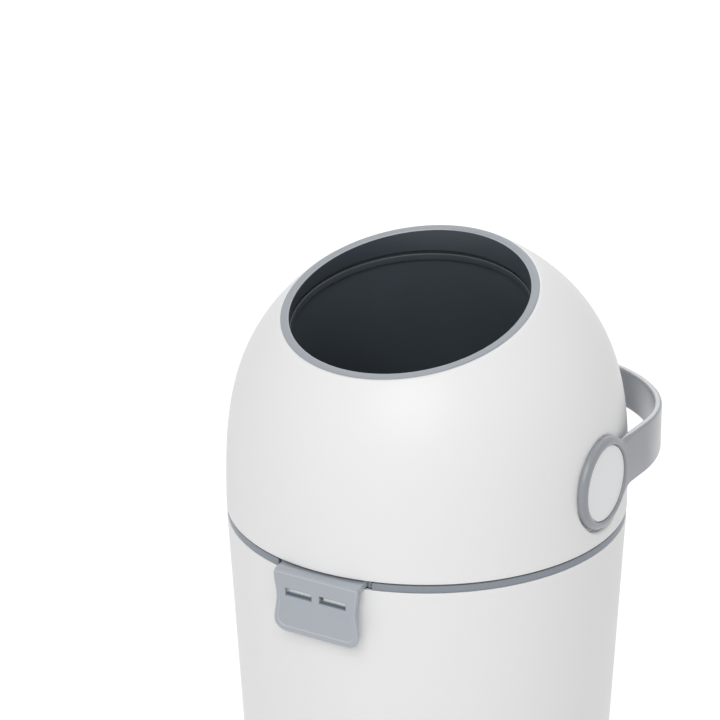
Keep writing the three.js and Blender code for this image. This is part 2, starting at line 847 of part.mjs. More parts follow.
/** The right trunnion: a flange that closes the drum's side, and a post out from the tube. */
function trunnion() {
  const inside = drumFlat - trunnionFlange;
  const socket = keyWidth / 2 + seatGap;
  const screwEnd = padInner - handleScrew.length - 2 * cutOverrun;
  const body = solid(alongX(turned([
    [0, tubeRadius - postRadius],
    [postRadius, tubeRadius - postRadius],
    [postRadius, inside],
    [sphereHeight(drumRadius, inside), inside],
    [sphereHeight(drumRadius, drumFlat), drumFlat],
    [0, drumFlat],
  ], mediumSteps)));
  const tube = solid(turned([
    [0, -seamRadius],
    [tubeOuter + seatGap, -seamRadius],
    [tubeOuter + seatGap, seamRadius],
    [0, seamRadius],
  ]));
  const key = solid(block([drumFlat - keyLength, -socket, -socket], [seamRadius, socket, socket]));
  const pilot = solid(rodX(handleScrew.shankRadius + seatGap, screwEnd, seamRadius));
  return body.subtract(tube).subtract(key).subtract(pilot);
}

/** The bush in the dome's side. */
function trunnionBush() {
  const outerEnd = padFace + seatGap / 2;
  return alongX(turnedRing([
    [bushRadius, padInner - seatGap - bushFlange],
    [bushOuter + bushFlangeWidth, padInner - seatGap - bushFlange],
    [bushOuter + bushFlangeWidth, padInner - seatGap],
    [bushOuter, padInner - seatGap],
    [bushOuter, outerEnd],
    [bushRadius, outerEnd],
  ], mediumSteps));
}

const counterboreRadius = handleScrew.headRadius + counterboreRoom;
const capSeat = ringOuterFace - capInset - capThick - seatGap;
const counterboreFloor = padInner - seatGap;

/** The round ring end of the handle, with the boss and key that drive the drum. */
function handleHub() {
  const bore = handleScrew.shankRadius + seatGap;
  const recess = capRadius + seatGap;
  const hub = solid(alongX(turnedRing([
    [bore, drumFlat + seatGap],
    [bossRadius, drumFlat + seatGap],
    [bossRadius, ringInnerFace],
    [ringRadius, ringInnerFace],
    [ringRadius, ringOuterFace - ringBevel],
    [ringRadius - ringBevel / 3, ringOuterFace - ringBevel / 3],
    [ringRadius - ringBevel, ringOuterFace],
    [recess + ringBevel / 3, ringOuterFace],
    [recess, ringOuterFace - ringBevel / 4],
    [recess, capSeat],
    [counterboreRadius, capSeat],
    [counterboreRadius, counterboreFloor],
    [bore, counterboreFloor],
  ], ringSteps)));
  const half = keyWidth / 2;
  const key = solid(block(
    [drumFlat - keyLength + seatGap, -half, -half],
    [drumFlat + 2 * seatGap, half, half],
  ));
  const hole = solid(rodX(bore, drumFlat - keyLength - cutOverrun, counterboreFloor + seatGap));
  return hub.add(key).subtract(hole);
}

/** Edges of the strap, under and over the pivot's level, at a distance from the pivot. */
function strapEdges(distance) {
  const flare = (start) => neckFlare * Math.max(0, 1 - (distance - start) / neckLength) ** 2;
  const half = strapWidth / 2;
  return [strapOffset - half - flare(ringRadius * 0.9), strapOffset + half + flare(ringRadius * 0.7)];
}

/** The strap, level, from ring to ring round the back: a band lofted along its route. */
function handleStrap() {
  const outerHalf = ringInnerFace + seatGap + strapThick;
  const start = ringRadius - ringBevel * 3;
  const bend = Math.min(strapCorner, strapReach - start - strapWidth / 2, outerHalf - strapWidth / 2);
  const route = [];
  const armShares = [0, 0.15, 0.35, 0.6, 0.8];
  for (const share of armShares) {
    const distance = start + (strapReach - bend - start) * share;
    route.push({ x: outerHalf, y: distance, angle: 0 });
  }
  const turns = 12;
  for (let step = 0; step <= turns; step += 1) {
    const angle = (step * Math.PI) / 2 / turns;
    route.push({
      x: outerHalf - bend + bend * Math.cos(angle),
      y: strapReach - bend + bend * Math.sin(angle),
      angle,
    });
  }
  const mirrored = route.map(({ x, y, angle }) => ({ x: -x, y, angle: Math.PI - angle })).reverse();
  const sections = [...route, ...mirrored].map(({ x, y, angle }) => {
    const [low, high] = strapEdges(y);
    const domeSide = Math.sqrt(Math.max(seamRadius ** 2 - y ** 2, 0));
    const deep = Math.min(strapThick, outerHalf - domeSide - seatGap);
    const edge = Math.min(strapEdge, deep / 3);
    const outline = [
      [0, low + edge],
      [0, high - edge],
      [edge, high],
      [deep - edge, high],
      [deep, high - edge],
      [deep, low + edge],
      [deep - edge, low],
      [edge, low],
    ];
    return outline.map(([depth, z]) => (
      new THREE.Vector3(x - depth * Math.cos(angle), y - depth * Math.sin(angle), z)
    ));
  });
  return loft(sections, true);
}

/** The handle: the strap with a ring and a drive boss at each end. */
function handle() {
  const right = handleHub();
  const left = right.rotate([0, 0, 180]);
  const level = handleStrap().rotateX(-tubeTilt);
  const core = [-1, 1].map((side) => {
    const recess = alongX(turned([
      [0, capSeat],
      [capRadius + seatGap, capSeat],
      [capRadius + seatGap, ringOuterFace + cutOverrun],
      [0, ringOuterFace + cutOverrun],
    ], ringSteps));
    return solid(side < 0 ? recess.rotateZ(Math.PI) : recess);
  });
  return solid(level).subtract(core[0]).subtract(core[1]).add(right).add(left);
}

/** The disc over the handle's screw, with a short collar that fits the counterbore. */
function handleCap() {
  const inner = capSeat + seatGap;
  const collar = counterboreRadius - seatGap;
  const outer = inner + capThick;
  return alongX(turned([
    [0, inner],
    [collar - capCollar, inner],
    [collar - capCollar, inner - capThick],
    [collar, inner - capThick],
    [collar, inner],
    [capRadius, inner],
    [capRadius, outer - capThick / 3],
    [capRadius - capThick / 3, outer],
    [0, outer],
  ], ringSteps));
}

/** The washer under the handle screw's head. */
function handleWasher() {
  const from = counterboreFloor + seatGap;
  return alongX(turnedRing([
    [handleScrew.shankRadius + seatGap, from],
    [handleScrew.headRadius + washerRim, from],
    [handleScrew.headRadius + washerRim, from + washerThick],
    [handleScrew.shankRadius + seatGap, from + washerThick],
  ], smallSteps));
}

/** The piston's cup, at its rest on the lower lip of the tube. */
function pistonCup() {
  const bottom = pistonBottom();
  const outer = tubeRadius - pistonGap;
  const inner = outer - pistonWall - pistonSealDepth;
  const top = bottom + pistonHeight - pistonWall - seatGap;
  const grooveLow = bottom + pistonHeight / 2 - pistonSealHeight / 2;
  const grooveHigh = grooveLow + pistonSealHeight;
  const floor = bottom + pistonWall;
  const rib = weightRadius + seatGap;
  return turned([
    [0, bottom],
    [outer - pistonWall, bottom],
    [outer, bottom + pistonWall],
    [outer, grooveLow],
    [outer - pistonSealDepth, grooveLow],
    [outer - pistonSealDepth, grooveHigh],
    [outer, grooveHigh],
    [outer, top],
    [inner, top],
    [inner, floor],
    [rib + pistonWall, floor],
    [rib + pistonWall, floor + weightHeight * 0.6],
    [rib, floor + weightHeight * 0.6],
    [rib, floor],
    [0, floor],
  ], drumSteps);
}

/** Height of the piston's under side in the tube's frame. */
function pistonBottom() {
  return -(sphereHeight(drumRadius, stopInner) - stopLength) + seatGap;
}

/** The round cover on the piston's cup. */
function pistonCover() {
  const top = pistonBottom() + pistonHeight;
  const outer = tubeRadius - pistonGap;
  const under = top - pistonWall;
  const spigot = outer - pistonWall - pistonSealDepth - seatGap;
  return turned([
    [0, under],
    [spigot - pistonWall, under],
    [spigot - pistonWall, under - pistonWall],
    [spigot, under - pistonWall],
    [spigot, under],
    [outer, under],
    [outer, top - pistonWall / 2],
    [outer - pistonWall / 2, top],
    [0, top],
  ], drumSteps);
}

/** The steel disc that makes the piston fall through the tube. */
function pistonWeight() {
  const low = pistonBottom() + pistonWall + seatGap;
  return turned([
    [0, low],
    [weightRadius, low],
    [weightRadius, low + weightHeight],
    [0, low + weightHeight],
  ], mediumSteps);
}

/** The wiper ring in the piston's groove. */
function pistonSeal() {
  const low = pistonBottom() + pistonHeight / 2 - pistonSealHeight / 2 + seatGap;
  const inner = tubeRadius - pistonGap - pistonSealDepth + seatGap;
  return turnedRing([
    [inner, low],
    [tubeRadius - pistonSealGap, low],
    [tubeRadius - pistonSealGap, low + pistonSealHeight - 2 * seatGap],
    [inner, low + pistonSealHeight - 2 * seatGap],
  ], drumSteps);
}

/** Adds the left and right copies of a piece that is built on the right. */
function addPair(group, name, shape, material, seat = new THREE.Vector3()) {
  for (const side of ['left', 'right']) {
    const holder = new THREE.Group();
    holder.rotation.z = side === 'left' ? Math.PI : 0;
    group.add(holder);
    addPiece(holder, `${name}_${side}`, shape(), material()).position.copy(seat);
  }
}

const bin = new THREE.Group();
bin.position.y = -(strapReach + latchFrontY) / 2;

const base = new THREE.Group();
bin.add(base);
addPiece(base, 'body_shell', bodyShell(), whiteShell());
const footNames = ['foot_rear_right', 'foot_rear_left', 'foot_front_left', 'foot_front_right'];
footPlaces().forEach(([x, y], corner) => {
  addPiece(base, footNames[corner], foot(), darkRubber()).position.set(x, y, 0);
});

const seam = new THREE.Group();
seam.position.z = seamHeight;
bin.add(seam);
addPiece(seam, 'band_ring', bandRing(), greyTrim());
addPiece(seam, 'hinge_bracket', hingeBracket(), greyTrim());
addPiece(seam, 'hinge_pin', hingePin(), steel()).position.y = hingeY;

/** Adds the two screws of a hinge leaf, at a height over the seam, seated on its outer face. */
function addHingeScrews(name, height) {
  for (const [side, word] of [[-1, 'left'], [1, 'right']]) {
    const x = side * hingeScrewSpread;
    const piece = addPiece(seam, `${name}_${word}`, screw(hingeScrew), steel());
    piece.rotation.x = -Math.PI / 2;
    const face = seamRadius + hingeLeafThick;
    piece.position.set(x, Math.sqrt(face ** 2 - (Math.abs(x) - hingeScrew.headRadius) ** 2) + seatGap, height);
  }
}
addHingeScrews('hinge_bracket_screw', -bandHeight - seatGap - hingeLeafHeight / 2);

addPiece(seam, 'dome_shell', domeShell(), whiteShell());
addPiece(seam, 'mouth_rim', mouthRim(), paleGrey());
addPiece(seam, 'throat_seal', throatSeal(), darkRubber());
addPiece(seam, 'lid_frame', lidFrame(), greyTrim());
addPiece(seam, 'lid_seal', lidSeal(), darkRubber());
addPiece(seam, 'hinge_leaf', hingeLeaf(), greyTrim());
addHingeScrews('hinge_leaf_screw', 3 * seatGap + hingeLeafHeight / 2 + hingeKnuckle / 2);
const latchPinHalf = notchHalfWidth - seatGap;
const latchPin = rodX(latchPinRadius, -latchPinHalf, latchPinHalf, latchPinY, -latchPinDrop);
addPiece(seam, 'latch_pin', latchPin, steel());
addPiece(seam, 'latch_clip', latchClip(), paleGrey());

const sides = new THREE.Group();
sides.position.z = pivotRise;
seam.add(sides);
addPair(sides, 'trunnion_bush', trunnionBush, darkRubber);

const drum = new THREE.Group();
drum.position.z = pivotRise;
drum.rotation.x = tubeTilt;
seam.add(drum);
addPiece(drum, 'drum_tube', drumTube(), greyTrim());
addPiece(drum, 'tube_stop_upper', tubeStop(), greyTrim());
addPiece(drum, 'tube_stop_lower', tubeStop(), greyTrim()).rotation.x = Math.PI;
addPiece(drum, 'drum_cheek_front', drumCheek(-1), greyTrim());
addPiece(drum, 'drum_cheek_rear', drumCheek(1), greyTrim());
addPair(drum, 'trunnion', trunnion, greyTrim);
addPiece(drum, 'handle', handle(), greyTrim());
addPair(drum, 'handle_cap', handleCap, whiteShell);
addPair(drum, 'handle_washer', handleWasher, steel);
const screwSeat = new THREE.Vector3(counterboreFloor + washerThick + 2 * seatGap, 0, 0);
addPair(drum, 'handle_screw', () => alongX(screw(handleScrew)), steel, screwSeat);
addPiece(drum, 'piston_cup', pistonCup(), greyTrim());
addPiece(drum, 'piston_cover', pistonCover(), greyTrim());
addPiece(drum, 'piston_weight', pistonWeight(), ironWeight());
addPiece(drum, 'piston_seal', pistonSeal(), darkRubber());

export default bin;
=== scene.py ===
"""Looks of the nappy bin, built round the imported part.

Each sub-assembly of the bin is a class. It holds its sizes, builds its moulded pieces with finer surfaces
than the solids have, dresses them and puts them on their bodies. Lengths in the classes are millimetres,
and become metres where a mesh is made. Shapes of the lid are drawn from the middle of the seam between the
body and the dome, and shapes of the drum from the middle of its turning axis, along the tube.
"""

from __future__ import annotations

import json
import logging
import math
from collections.abc import Callable, Sequence
from dataclasses import dataclass
from enum import Enum
from typing import Any

import bmesh
import bpy
from mathutils import Matrix, Vector

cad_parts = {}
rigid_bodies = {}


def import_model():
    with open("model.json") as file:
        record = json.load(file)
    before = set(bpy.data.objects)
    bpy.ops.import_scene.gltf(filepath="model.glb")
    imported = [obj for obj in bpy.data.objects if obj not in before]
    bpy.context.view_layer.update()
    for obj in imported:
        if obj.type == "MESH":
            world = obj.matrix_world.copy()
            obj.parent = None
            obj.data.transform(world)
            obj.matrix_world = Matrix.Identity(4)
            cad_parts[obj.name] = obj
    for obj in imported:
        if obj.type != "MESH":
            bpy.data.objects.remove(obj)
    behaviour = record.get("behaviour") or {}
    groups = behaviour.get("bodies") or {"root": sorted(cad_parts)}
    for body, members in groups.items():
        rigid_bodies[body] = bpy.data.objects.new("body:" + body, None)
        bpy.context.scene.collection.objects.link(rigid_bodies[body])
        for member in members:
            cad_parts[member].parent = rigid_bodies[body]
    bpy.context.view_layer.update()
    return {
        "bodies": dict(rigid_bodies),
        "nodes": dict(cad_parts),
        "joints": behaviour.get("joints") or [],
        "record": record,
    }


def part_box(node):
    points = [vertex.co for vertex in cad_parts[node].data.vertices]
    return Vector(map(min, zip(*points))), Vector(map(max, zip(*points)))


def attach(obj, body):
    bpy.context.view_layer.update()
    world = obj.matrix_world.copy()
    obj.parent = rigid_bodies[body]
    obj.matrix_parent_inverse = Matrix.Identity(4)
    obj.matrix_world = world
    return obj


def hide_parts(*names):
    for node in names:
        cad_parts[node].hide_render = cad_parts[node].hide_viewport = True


LOG = logging.getLogger("nappy_bin")

Piece = bpy.types.Object
Socket = bpy.types.NodeSocket
Colour = tuple[float, float, float, float]
Pair = tuple[float, float]
Triple = tuple[float, float, float]

# SEAT is the gap between pieces that sit on each other, RUN the gap to a piece that turns past, and OVERRUN
# how far a cutter reaches past what it cuts, all in millimetres.
MM = 0.001
SEAT = 0.3
RUN = 1.2
OVERRUN = 4.0
FINE_STEPS = 224
ROUND_STEPS = 160
SMALL_STEPS = 64
SMOOTH_ANGLE = 34.0
STRAIGHT_HALF = math.radians(88)
CAD_MERGE = 5e-6
CAD_FLAT = math.radians(0.6)
MIX_FIRST, MIX_SECOND, MIX_RESULT = 6, 7, 2


class CadBody(Enum):
    """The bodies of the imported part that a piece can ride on."""

    BASE = "base"
    LID = "lid"
    LATCH = "latch"
    DRUM = "drum"
    PISTON = "piston"


class Slot(Enum):
    """The record's material slots, passed along with new pieces but not used."""

    SHELL = "shell_white"
    TRIM = "trim_grey"
    PALE = "pale_grey"
    RUBBER = "dark_rubber"
    STEEL = "steel"


class Cut(Enum):
    """How one shape works on another."""

    AWAY = "DIFFERENCE"
    JOIN = "UNION"
    KEEP = "INTERSECT"


class Shape(Enum):
    """How a loft's rings end."""

    CLOSED = "the last ring joins the first"
    CAPPED = "both ends are filled"


# Shapes


def new_object(name: str, data: bpy.types.ID) -> Piece:
    """Puts a new object in the scene, at the origin.

    Args:
        name: The object's name.
        data: Its mesh, curve, camera or lamp.

    Returns:
        The object.
    """
    obj = bpy.data.objects.new(name, data)
    bpy.context.scene.collection.objects.link(obj)
    return obj


def full_turn(steps: int) -> list[float]:
    """Angles of even steps round a full turn, without its end."""
    return [step * 2 * math.pi / steps for step in range(steps)]


def quarter_turn(steps: int) -> list[float]:
    """Angles of even steps from zero to a right angle, with both ends."""
    return [step * math.pi / (2 * steps) for step in range(steps + 1)]


@dataclass
class Blank:
    """A closed mesh in the making.

    Args:
        points: Corners in millimetres.
        faces: Rows of corner numbers.
    """

    points: list[Vector]
    faces: list[tuple[int, ...]]

    def moved(self, place: Matrix) -> Blank:
        """The same shape at another place."""
        return Blank([place @ point for point in self.points], self.faces)

    def made(self, name: str) -> Piece:
        """Makes the Blender object, with merged doubles and faces that point outwards.

        Args:
            name: The piece's name.

        Returns:
            The object, with its place in its mesh.
        """
        mesh = bpy.data.meshes.new(name)
        mesh.from_pydata([tuple(point * MM) for point in self.points], [], self.faces)
        obj = new_object(name, mesh)
        tidy_mesh(obj)
        return obj


def tidy_mesh(obj: Piece, merge: float = 2e-6) -> None:
    """Merges doubles, drops collapsed faces and turns the faces outwards.

    Args:
        obj: The mesh object.
        merge: Distance in metres under which corners become one.
    """
    mesh = bmesh.new()
    mesh.from_mesh(obj.data)
    bmesh.ops.remove_doubles(mesh, verts=mesh.verts, dist=merge)
    bmesh.ops.dissolve_degenerate(mesh, edges=mesh.edges, dist=merge / 10)
    bmesh.ops.recalc_face_normals(mesh, faces=mesh.faces)
    mesh.to_mesh(obj.data)
    mesh.free()


def rounded(corners: Sequence[tuple[Vector, float]], segments: int = 5) -> list[Vector]:
    """A closed outline with its corners rounded.

    Args:
        corners: Each corner of the outline with its radius, which is zero for a sharp one.
        segments: Steps of each round corner.

    Returns:
        The points of the rounded outline.
    """
    points: list[Vector] = []
    for at, (corner, radius) in enumerate(corners):
        before = (corners[at - 1][0] - corner).normalized()
        after = (corners[(at + 1) % len(corners)][0] - corner).normalized()
        half = before.angle(after, math.pi) / 2
        if radius <= 0 or half > STRAIGHT_HALF:
            points.append(corner.copy())
            continue
        run = radius / math.tan(half)
        middle = corner + (before + after).normalized() * (radius / math.sin(half))
        start = corner + before * run - middle
        end = corner + after * run - middle
        turn = start.angle(end)
        for step in range(segments + 1):
            share = step / segments
            arm = (start * math.sin((1 - share) * turn) + end * math.sin(share * turn)) / math.sin(turn)
            points.append(middle + arm)
    return points


def outline(rows: Sequence[Triple], segments: int = 5) -> list[Vector]:
    """A rounded outline in the XZ plane.

    Args:
        rows: Radius or X, then Z, then the corner's radius.
        segments: Steps of each round corner.

    Returns:
        The points of the rounded outline.
    """
    return rounded([(Vector((across, 0, up)), radius) for across, up, radius in rows], segments)


def turned(profile: Sequence[Vector], steps: int = FINE_STEPS) -> Blank:
    """A closed profile in the XZ plane, turned about Z.

    Args:
        profile: Points with their distance from the axis in X.
        steps: Steps round the turn.

    Returns:
        The turned shape.
    """
    turns = [Matrix.Rotation(angle, 3, "Z") for angle in full_turn(steps)]
    return lofted([[turn @ point for point in profile] for turn in turns], Shape.CLOSED)


def lofted(rings: Sequence[Sequence[Vector]], shape: Shape) -> Blank:
    """A surface through rings of points.

    Args:
        rings: Closed rings with the same number of points.
        shape: Whether the last ring joins the first, or both ends are filled.

    Returns:
        The lofted shape.
    """
    count = len(rings[0])
    points = [point for ring in rings for point in ring]
    faces: list[tuple[int, ...]] = []
    bands = len(rings) if shape is Shape.CLOSED else len(rings) - 1
    for band in range(bands):
        here, there = band * count, ((band + 1) % len(rings)) * count
        for step in range(count):
            after = (step + 1) % count
            faces.append((here + step, here + after, there + after, there + step))
    if shape is Shape.CAPPED:
        faces.append(tuple(range(count)))
        faces.append(tuple(range((len(rings) - 1) * count, len(rings) * count)))
    return Blank(points, faces)


def lofted_round(section: Callable[[float], list[Vector]]) -> Blank:
    """A closed shape from its section at each angle round it."""
    return lofted([section(angle) for angle in full_turn(FINE_STEPS)], Shape.CLOSED)


def inset(ring: Sequence[Vector], normal: Vector, depths: Sequence[float]) -> list[Vector]:
    """A flat ring drawn in, square to its edges.

    Args:
        ring: Points in order round the ring.
        normal: The direction that sees the ring run anticlockwise.
        depths: How far each point moves inwards.

    Returns:
        The smaller ring.
    """
    moved = []
    for at, (point, depth) in enumerate(zip(ring, depths, strict=True)):
        along = ring[(at + 1) % len(ring)] - ring[at - 1]
        moved.append(point + normal.cross(along).normalized() * depth)
    return moved


@dataclass(frozen=True)
class Edge:
    """A rounded edge of a slab.

    Args:
        width: How far it reaches into the face.
        depth: How far it reaches down the side.
        crease: Angle at which it leaves the face, in degrees. Zero gives a smooth start.
    """

    width: float
    depth: float
    crease: float = 0.0

    def steps(self, count: int) -> list[Pair]:
        """Inset and depth of each step, from the face to the side.

        Args:
            count: How many steps the rounding has.

        Returns:
            The pairs, one more than the steps.
        """
        first = math.radians(self.crease)
        turns = [first + (math.pi / 2 - first) * step / count for step in range(count + 1)]
        wide, deep = self.width / (1 - math.sin(first)), self.depth / math.cos(first)
        return [(wide * (1 - math.sin(turn)), deep * (math.cos(first) - math.cos(turn))) for turn in turns]

    def towards(self, other: Edge, share: float) -> Edge:
        """An edge between this one and another."""
        pairs = ((self.width, other.width), (self.depth, other.depth), (self.crease, other.crease))
        return Edge(*(one + (two - one) * share for one, two in pairs))


def slab(
    ring: Sequence[Vector], through: Vector, front: Edge | Sequence[Edge], back: Edge, steps: int = 5
) -> Blank:
    """A flat ring drawn out to a slab with rounded edges.

    Args:
        ring: Points of the front face, anticlockwise when seen from the front.
        through: The way from the front face to the back face, in millimetres.
        front: The edge round the front face, or the edge at each of its points.
        back: The edge round the back face.
        steps: Steps of each round edge.

    Returns:
        The slab.
    """
    normal = -through.normalized()
    fronts = [front] * len(ring) if isinstance(front, Edge) else front
    paths = [edge.steps(steps) for edge in fronts]
    rings = []
    for step in range(steps + 1):
        drawn = inset(ring, normal, [path[step][0] for path in paths])
        rings.append([point - normal * path[step][1] for point, path in zip(drawn, paths, strict=True)])
    for reach, down in reversed(back.steps(steps)):
        drawn = inset(ring, normal, [reach] * len(ring))
        rings.append([point + through + normal * down for point in drawn])
    return lofted(rings, Shape.CAPPED)


def rod(radius: float, start: Vector, end: Vector, steps: int = SMALL_STEPS) -> Blank:
    """A plain round rod between two points, used as a cutter.

    Args:
        radius: The rod's radius.
        start: Middle of one end.
        end: Middle of the other end.
        steps: Steps round the rod.

    Returns:
        The rod.
    """
    along = (end - start).normalized()
    side = along.orthogonal().normalized()
    arms = [Matrix.Rotation(angle, 3, along) @ side * radius for angle in full_turn(steps)]
    return lofted([[middle + arm for arm in arms] for middle in (start, end)], Shape.CAPPED)


def brick(low: Vector, high: Vector) -> Blank:
    """A block between two corners, used as a cutter.

    Args:
        low: The corner with the lowest values.
        high: The opposite corner.

    Returns:
        The block.
    """
    corners = ((low.x, low.y), (high.x, low.y), (high.x, high.y), (low.x, high.y))
    ring = [Vector((x, y, low.z)) for x, y in corners]
    lift = Vector((0, 0, high.z - low.z))
    return lofted([ring, [point + lift for point in ring]], Shape.CAPPED)


def settle(obj: Piece) -> None:
    """Bakes an object's modifiers into its mesh.

    Args:
        obj: The object, which keeps no modifier.
    """
    graph = bpy.context.evaluated_depsgraph_get()
    made = bpy.data.meshes.new_from_object(obj.evaluated_get(graph))
    obj.modifiers.clear()
    old = obj.data
    made.name = old.name
    obj.data = made
    bpy.data.meshes.remove(old)


def work(obj: Piece, tools: Sequence[tuple[Cut, Blank]]) -> Piece:
    """Works on a piece with other shapes, in order.

    Args:
        obj: The piece.
        tools: Each tool's shape, and how it works on the piece.

    Returns:
        The same piece.
    """
    for number, (cut, blank) in enumerate(tools):
        tool = blank.made(f"tool_{number}")
        step = obj.modifiers.new("work", "BOOLEAN")
        step.operation = cut.value
        step.solver = "EXACT"
        step.object = tool
        settle(obj)
        bpy.data.objects.remove(tool)
    tidy_mesh(obj)
    return obj


def soften(obj: Piece, width: float, segments: int = 3, angle: float = 32.0) -> Piece:
    """Rounds a piece's edges.

    Args:
        obj: The piece.
        width: Width of the rounding in millimetres.
        segments: Steps of the rounding.
        angle: Edges sharper than this many degrees are rounded.

    Returns:
        The same piece.
    """
    bevel = obj.modifiers.new("edges", "BEVEL")
    bevel.width = width * MM
    bevel.segments = segments
    bevel.limit_method = "ANGLE"
    bevel.angle_limit = math.radians(angle)
    bevel.harden_normals = False
    settle(obj)
    return obj


def softened_copy(node: Piece, name: str, width: float) -> Piece:
    """A copy of a CAD node with merged corners, joined flats and rounded edges.

    Args:
        node: The CAD node's object.
        name: The new piece's name.
        width: Width of the rounding in millimetres.

    Returns:
        The new piece.
    """
    obj = new_object(name, node.data.copy())
    mesh = bmesh.new()
    mesh.from_mesh(obj.data)
    bmesh.ops.remove_doubles(mesh, verts=mesh.verts, dist=CAD_MERGE)
    bmesh.ops.dissolve_limit(
        mesh, angle_limit=CAD_FLAT, verts=mesh.verts, edges=mesh.edges, delimit={"NORMAL"}
    )
    mesh.to_mesh(obj.data)
    mesh.free()
    return soften(obj, width, segments=2)


# Node trees


class NodeBoard:
    """A node tree in the making.

    Args:
        tree: Blender's tree.
    """

    def __init__(self, tree: bpy.types.NodeTree) -> None:
        """Empties the tree."""
        self.tree = tree
        self.tree.nodes.clear()

    def add(self, kind: str, inputs: dict[str | int, Any] | None = None, **settings: Any) -> bpy.types.Node:
        """Adds a node.

        Args:
            kind: Blender's name of the node.
            inputs: A value or another node's output for each named or numbered input.
            **settings: The node's own settings.

        Returns:
            The node.
        """
        node = self.tree.nodes.new(kind)
        for name, value in settings.items():
            setattr(node, name, value)
        for key, value in (inputs or {}).items():
            if isinstance(value, Socket):
                self.tree.links.new(value, node.inputs[key])
            else:
                node.inputs[key].default_value = value
        return node

    def spread(self, value: Socket, low: float, high: float, to: Pair = (0.0, 1.0)) -> Socket:
        """Maps a value's range to another range, and holds it inside.

        Args:
            value: The value.
            low: The value that becomes the first of the new range.
            high: The value that becomes the last of the new range.
            to: The new range.

        Returns:
            The mapped value.
        """
        inputs = {"Value": value, "From Min": low, "From Max": high, "To Min": to[0], "To Max": to[1]}
        return self.add("ShaderNodeMapRange", inputs).outputs["Result"]

    def sum(self, one: Socket, two: Socket, clamped: bool = False) -> Socket:
        """The sum of two values, held between 0 and 1 where it is clamped."""
        return self.add("ShaderNodeMath", {0: one, 1: two}, operation="ADD", use_clamp=clamped).outputs[0]

    def product(self, one: Socket, two: Socket) -> Socket:
        """The product of two values."""
        return self.add("ShaderNodeMath", {0: one, 1: two}, operation="MULTIPLY").outputs[0]

    def mix(self, share: Socket, first: Any, second: Any) -> Socket:
        """A colour between two colours.

        Args:
            share: How much of the second colour there is.
            first: A colour or another node's colour.
            second: A colour or another node's colour.

        Returns:
            The mixed colour.
        """
        inputs = {0: share, MIX_FIRST: first, MIX_SECOND: second}
        return self.add("ShaderNodeMix", inputs, data_type="RGBA").outputs[MIX_RESULT]


# Finishes


@dataclass(frozen=True)
class Noise:
    """A noise over a piece, and the range of its values that counts.

    Args:
        per_metre: Waves in a metre.
        detail: How many finer layers it has.
        low: The value that becomes the first of a new range.
        high: The value that becomes the last of a new range.
        stretch: How many times faster it runs along each axis.
    """

    per_metre: float
    detail: float
    low: float = 0.3
    high: float = 0.7
    stretch: Triple | None = None


class NodeSheet(NodeBoard):
    """The nodes of one material."""

    def __init__(self, name: str) -> None:
        """Starts an empty sheet that reads Object coordinates.

        Args:
            name: The material's name.
        """
        self.material = bpy.data.materials.new(name)
        self.material.use_nodes = True
        super().__init__(self.material.node_tree)
        self.place = self.add("ShaderNodeTexCoord").outputs["Object"]

    def plain(self, noise: Noise) -> Socket:
        """A noise as it is.

        Args:
            noise: The noise.

        Returns:
            Its values, from 0 to 1.
        """
        place = self.place
        if noise.stretch is not None:
            stretched = {"Vector": place, "Scale": noise.stretch}
            place = self.add("ShaderNodeMapping", stretched).outputs["Vector"]
        inputs = {"Vector": place, "Scale": noise.per_metre, "Detail": noise.detail}
        return self.add("ShaderNodeTexNoise", inputs).outputs["Fac"]

    def spots(self, noise: Noise) -> Socket:
        """A noise of which only its own range counts, mapped to 0 to 1."""
        return self.spread(self.plain(noise), noise.low, noise.high)

    def surface(
        self, relief: Socket, strength: float, deep: float, inputs: dict[str, Any]
    ) -> bpy.types.Material:
        """Ends the sheet with a surface that has a fine relief.

        Args:
            relief: The relief's height, from 0 to 1.
            strength: How strong it looks.
            deep: Its depth in millimetres.
            inputs: The shader's other inputs.

        Returns:
            The material.
        """
        bump = self.add("ShaderNodeBump", {"Strength": strength, "Distance": deep * MM, "Height": relief})
        inputs = {**inputs, "Normal": bump.outputs["Normal"]}
        return self.finish(self.add("ShaderNodeBsdfPrincipled", inputs))

    def finish(self, shader: bpy.types.Node) -> bpy.types.Material:
        """Ends the sheet with the surface's shader.

        Args:
            shader: The shader's node.

        Returns:
            The material.
        """
        self.add("ShaderNodeOutputMaterial", {"Surface": shader.outputs[0]})
        return self.material


def linear(red: int, green: int, blue: int) -> Colour:
    """A colour for a shader from its values on a screen.

    Args:
        red: Red from 0 to 255.
        green: Green from 0 to 255.
        blue: Blue from 0 to 255.

    Returns:
        The colour in linear light, with an alpha of 1.
    """

    def channel(value: int) -> float:
        """One channel in linear light."""
        share = value / 255
        return share / 12.92 if share <= 0.04045 else ((share + 0.055) / 1.055) ** 2.4

    return channel(red), channel(green), channel(blue), 1.0


def shade(colour: Colour, share: float) -> Colour:
    """A colour made darker or lighter.

    Args:
        colour: The colour in linear light.
        share: How much light is left, over 1 for a lighter colour.

    Returns:
        The new colour.
    """
    red, green, blue = (min(channel * share, 1.0) for channel in colour[:3])
    return red, green, blue, 1.0


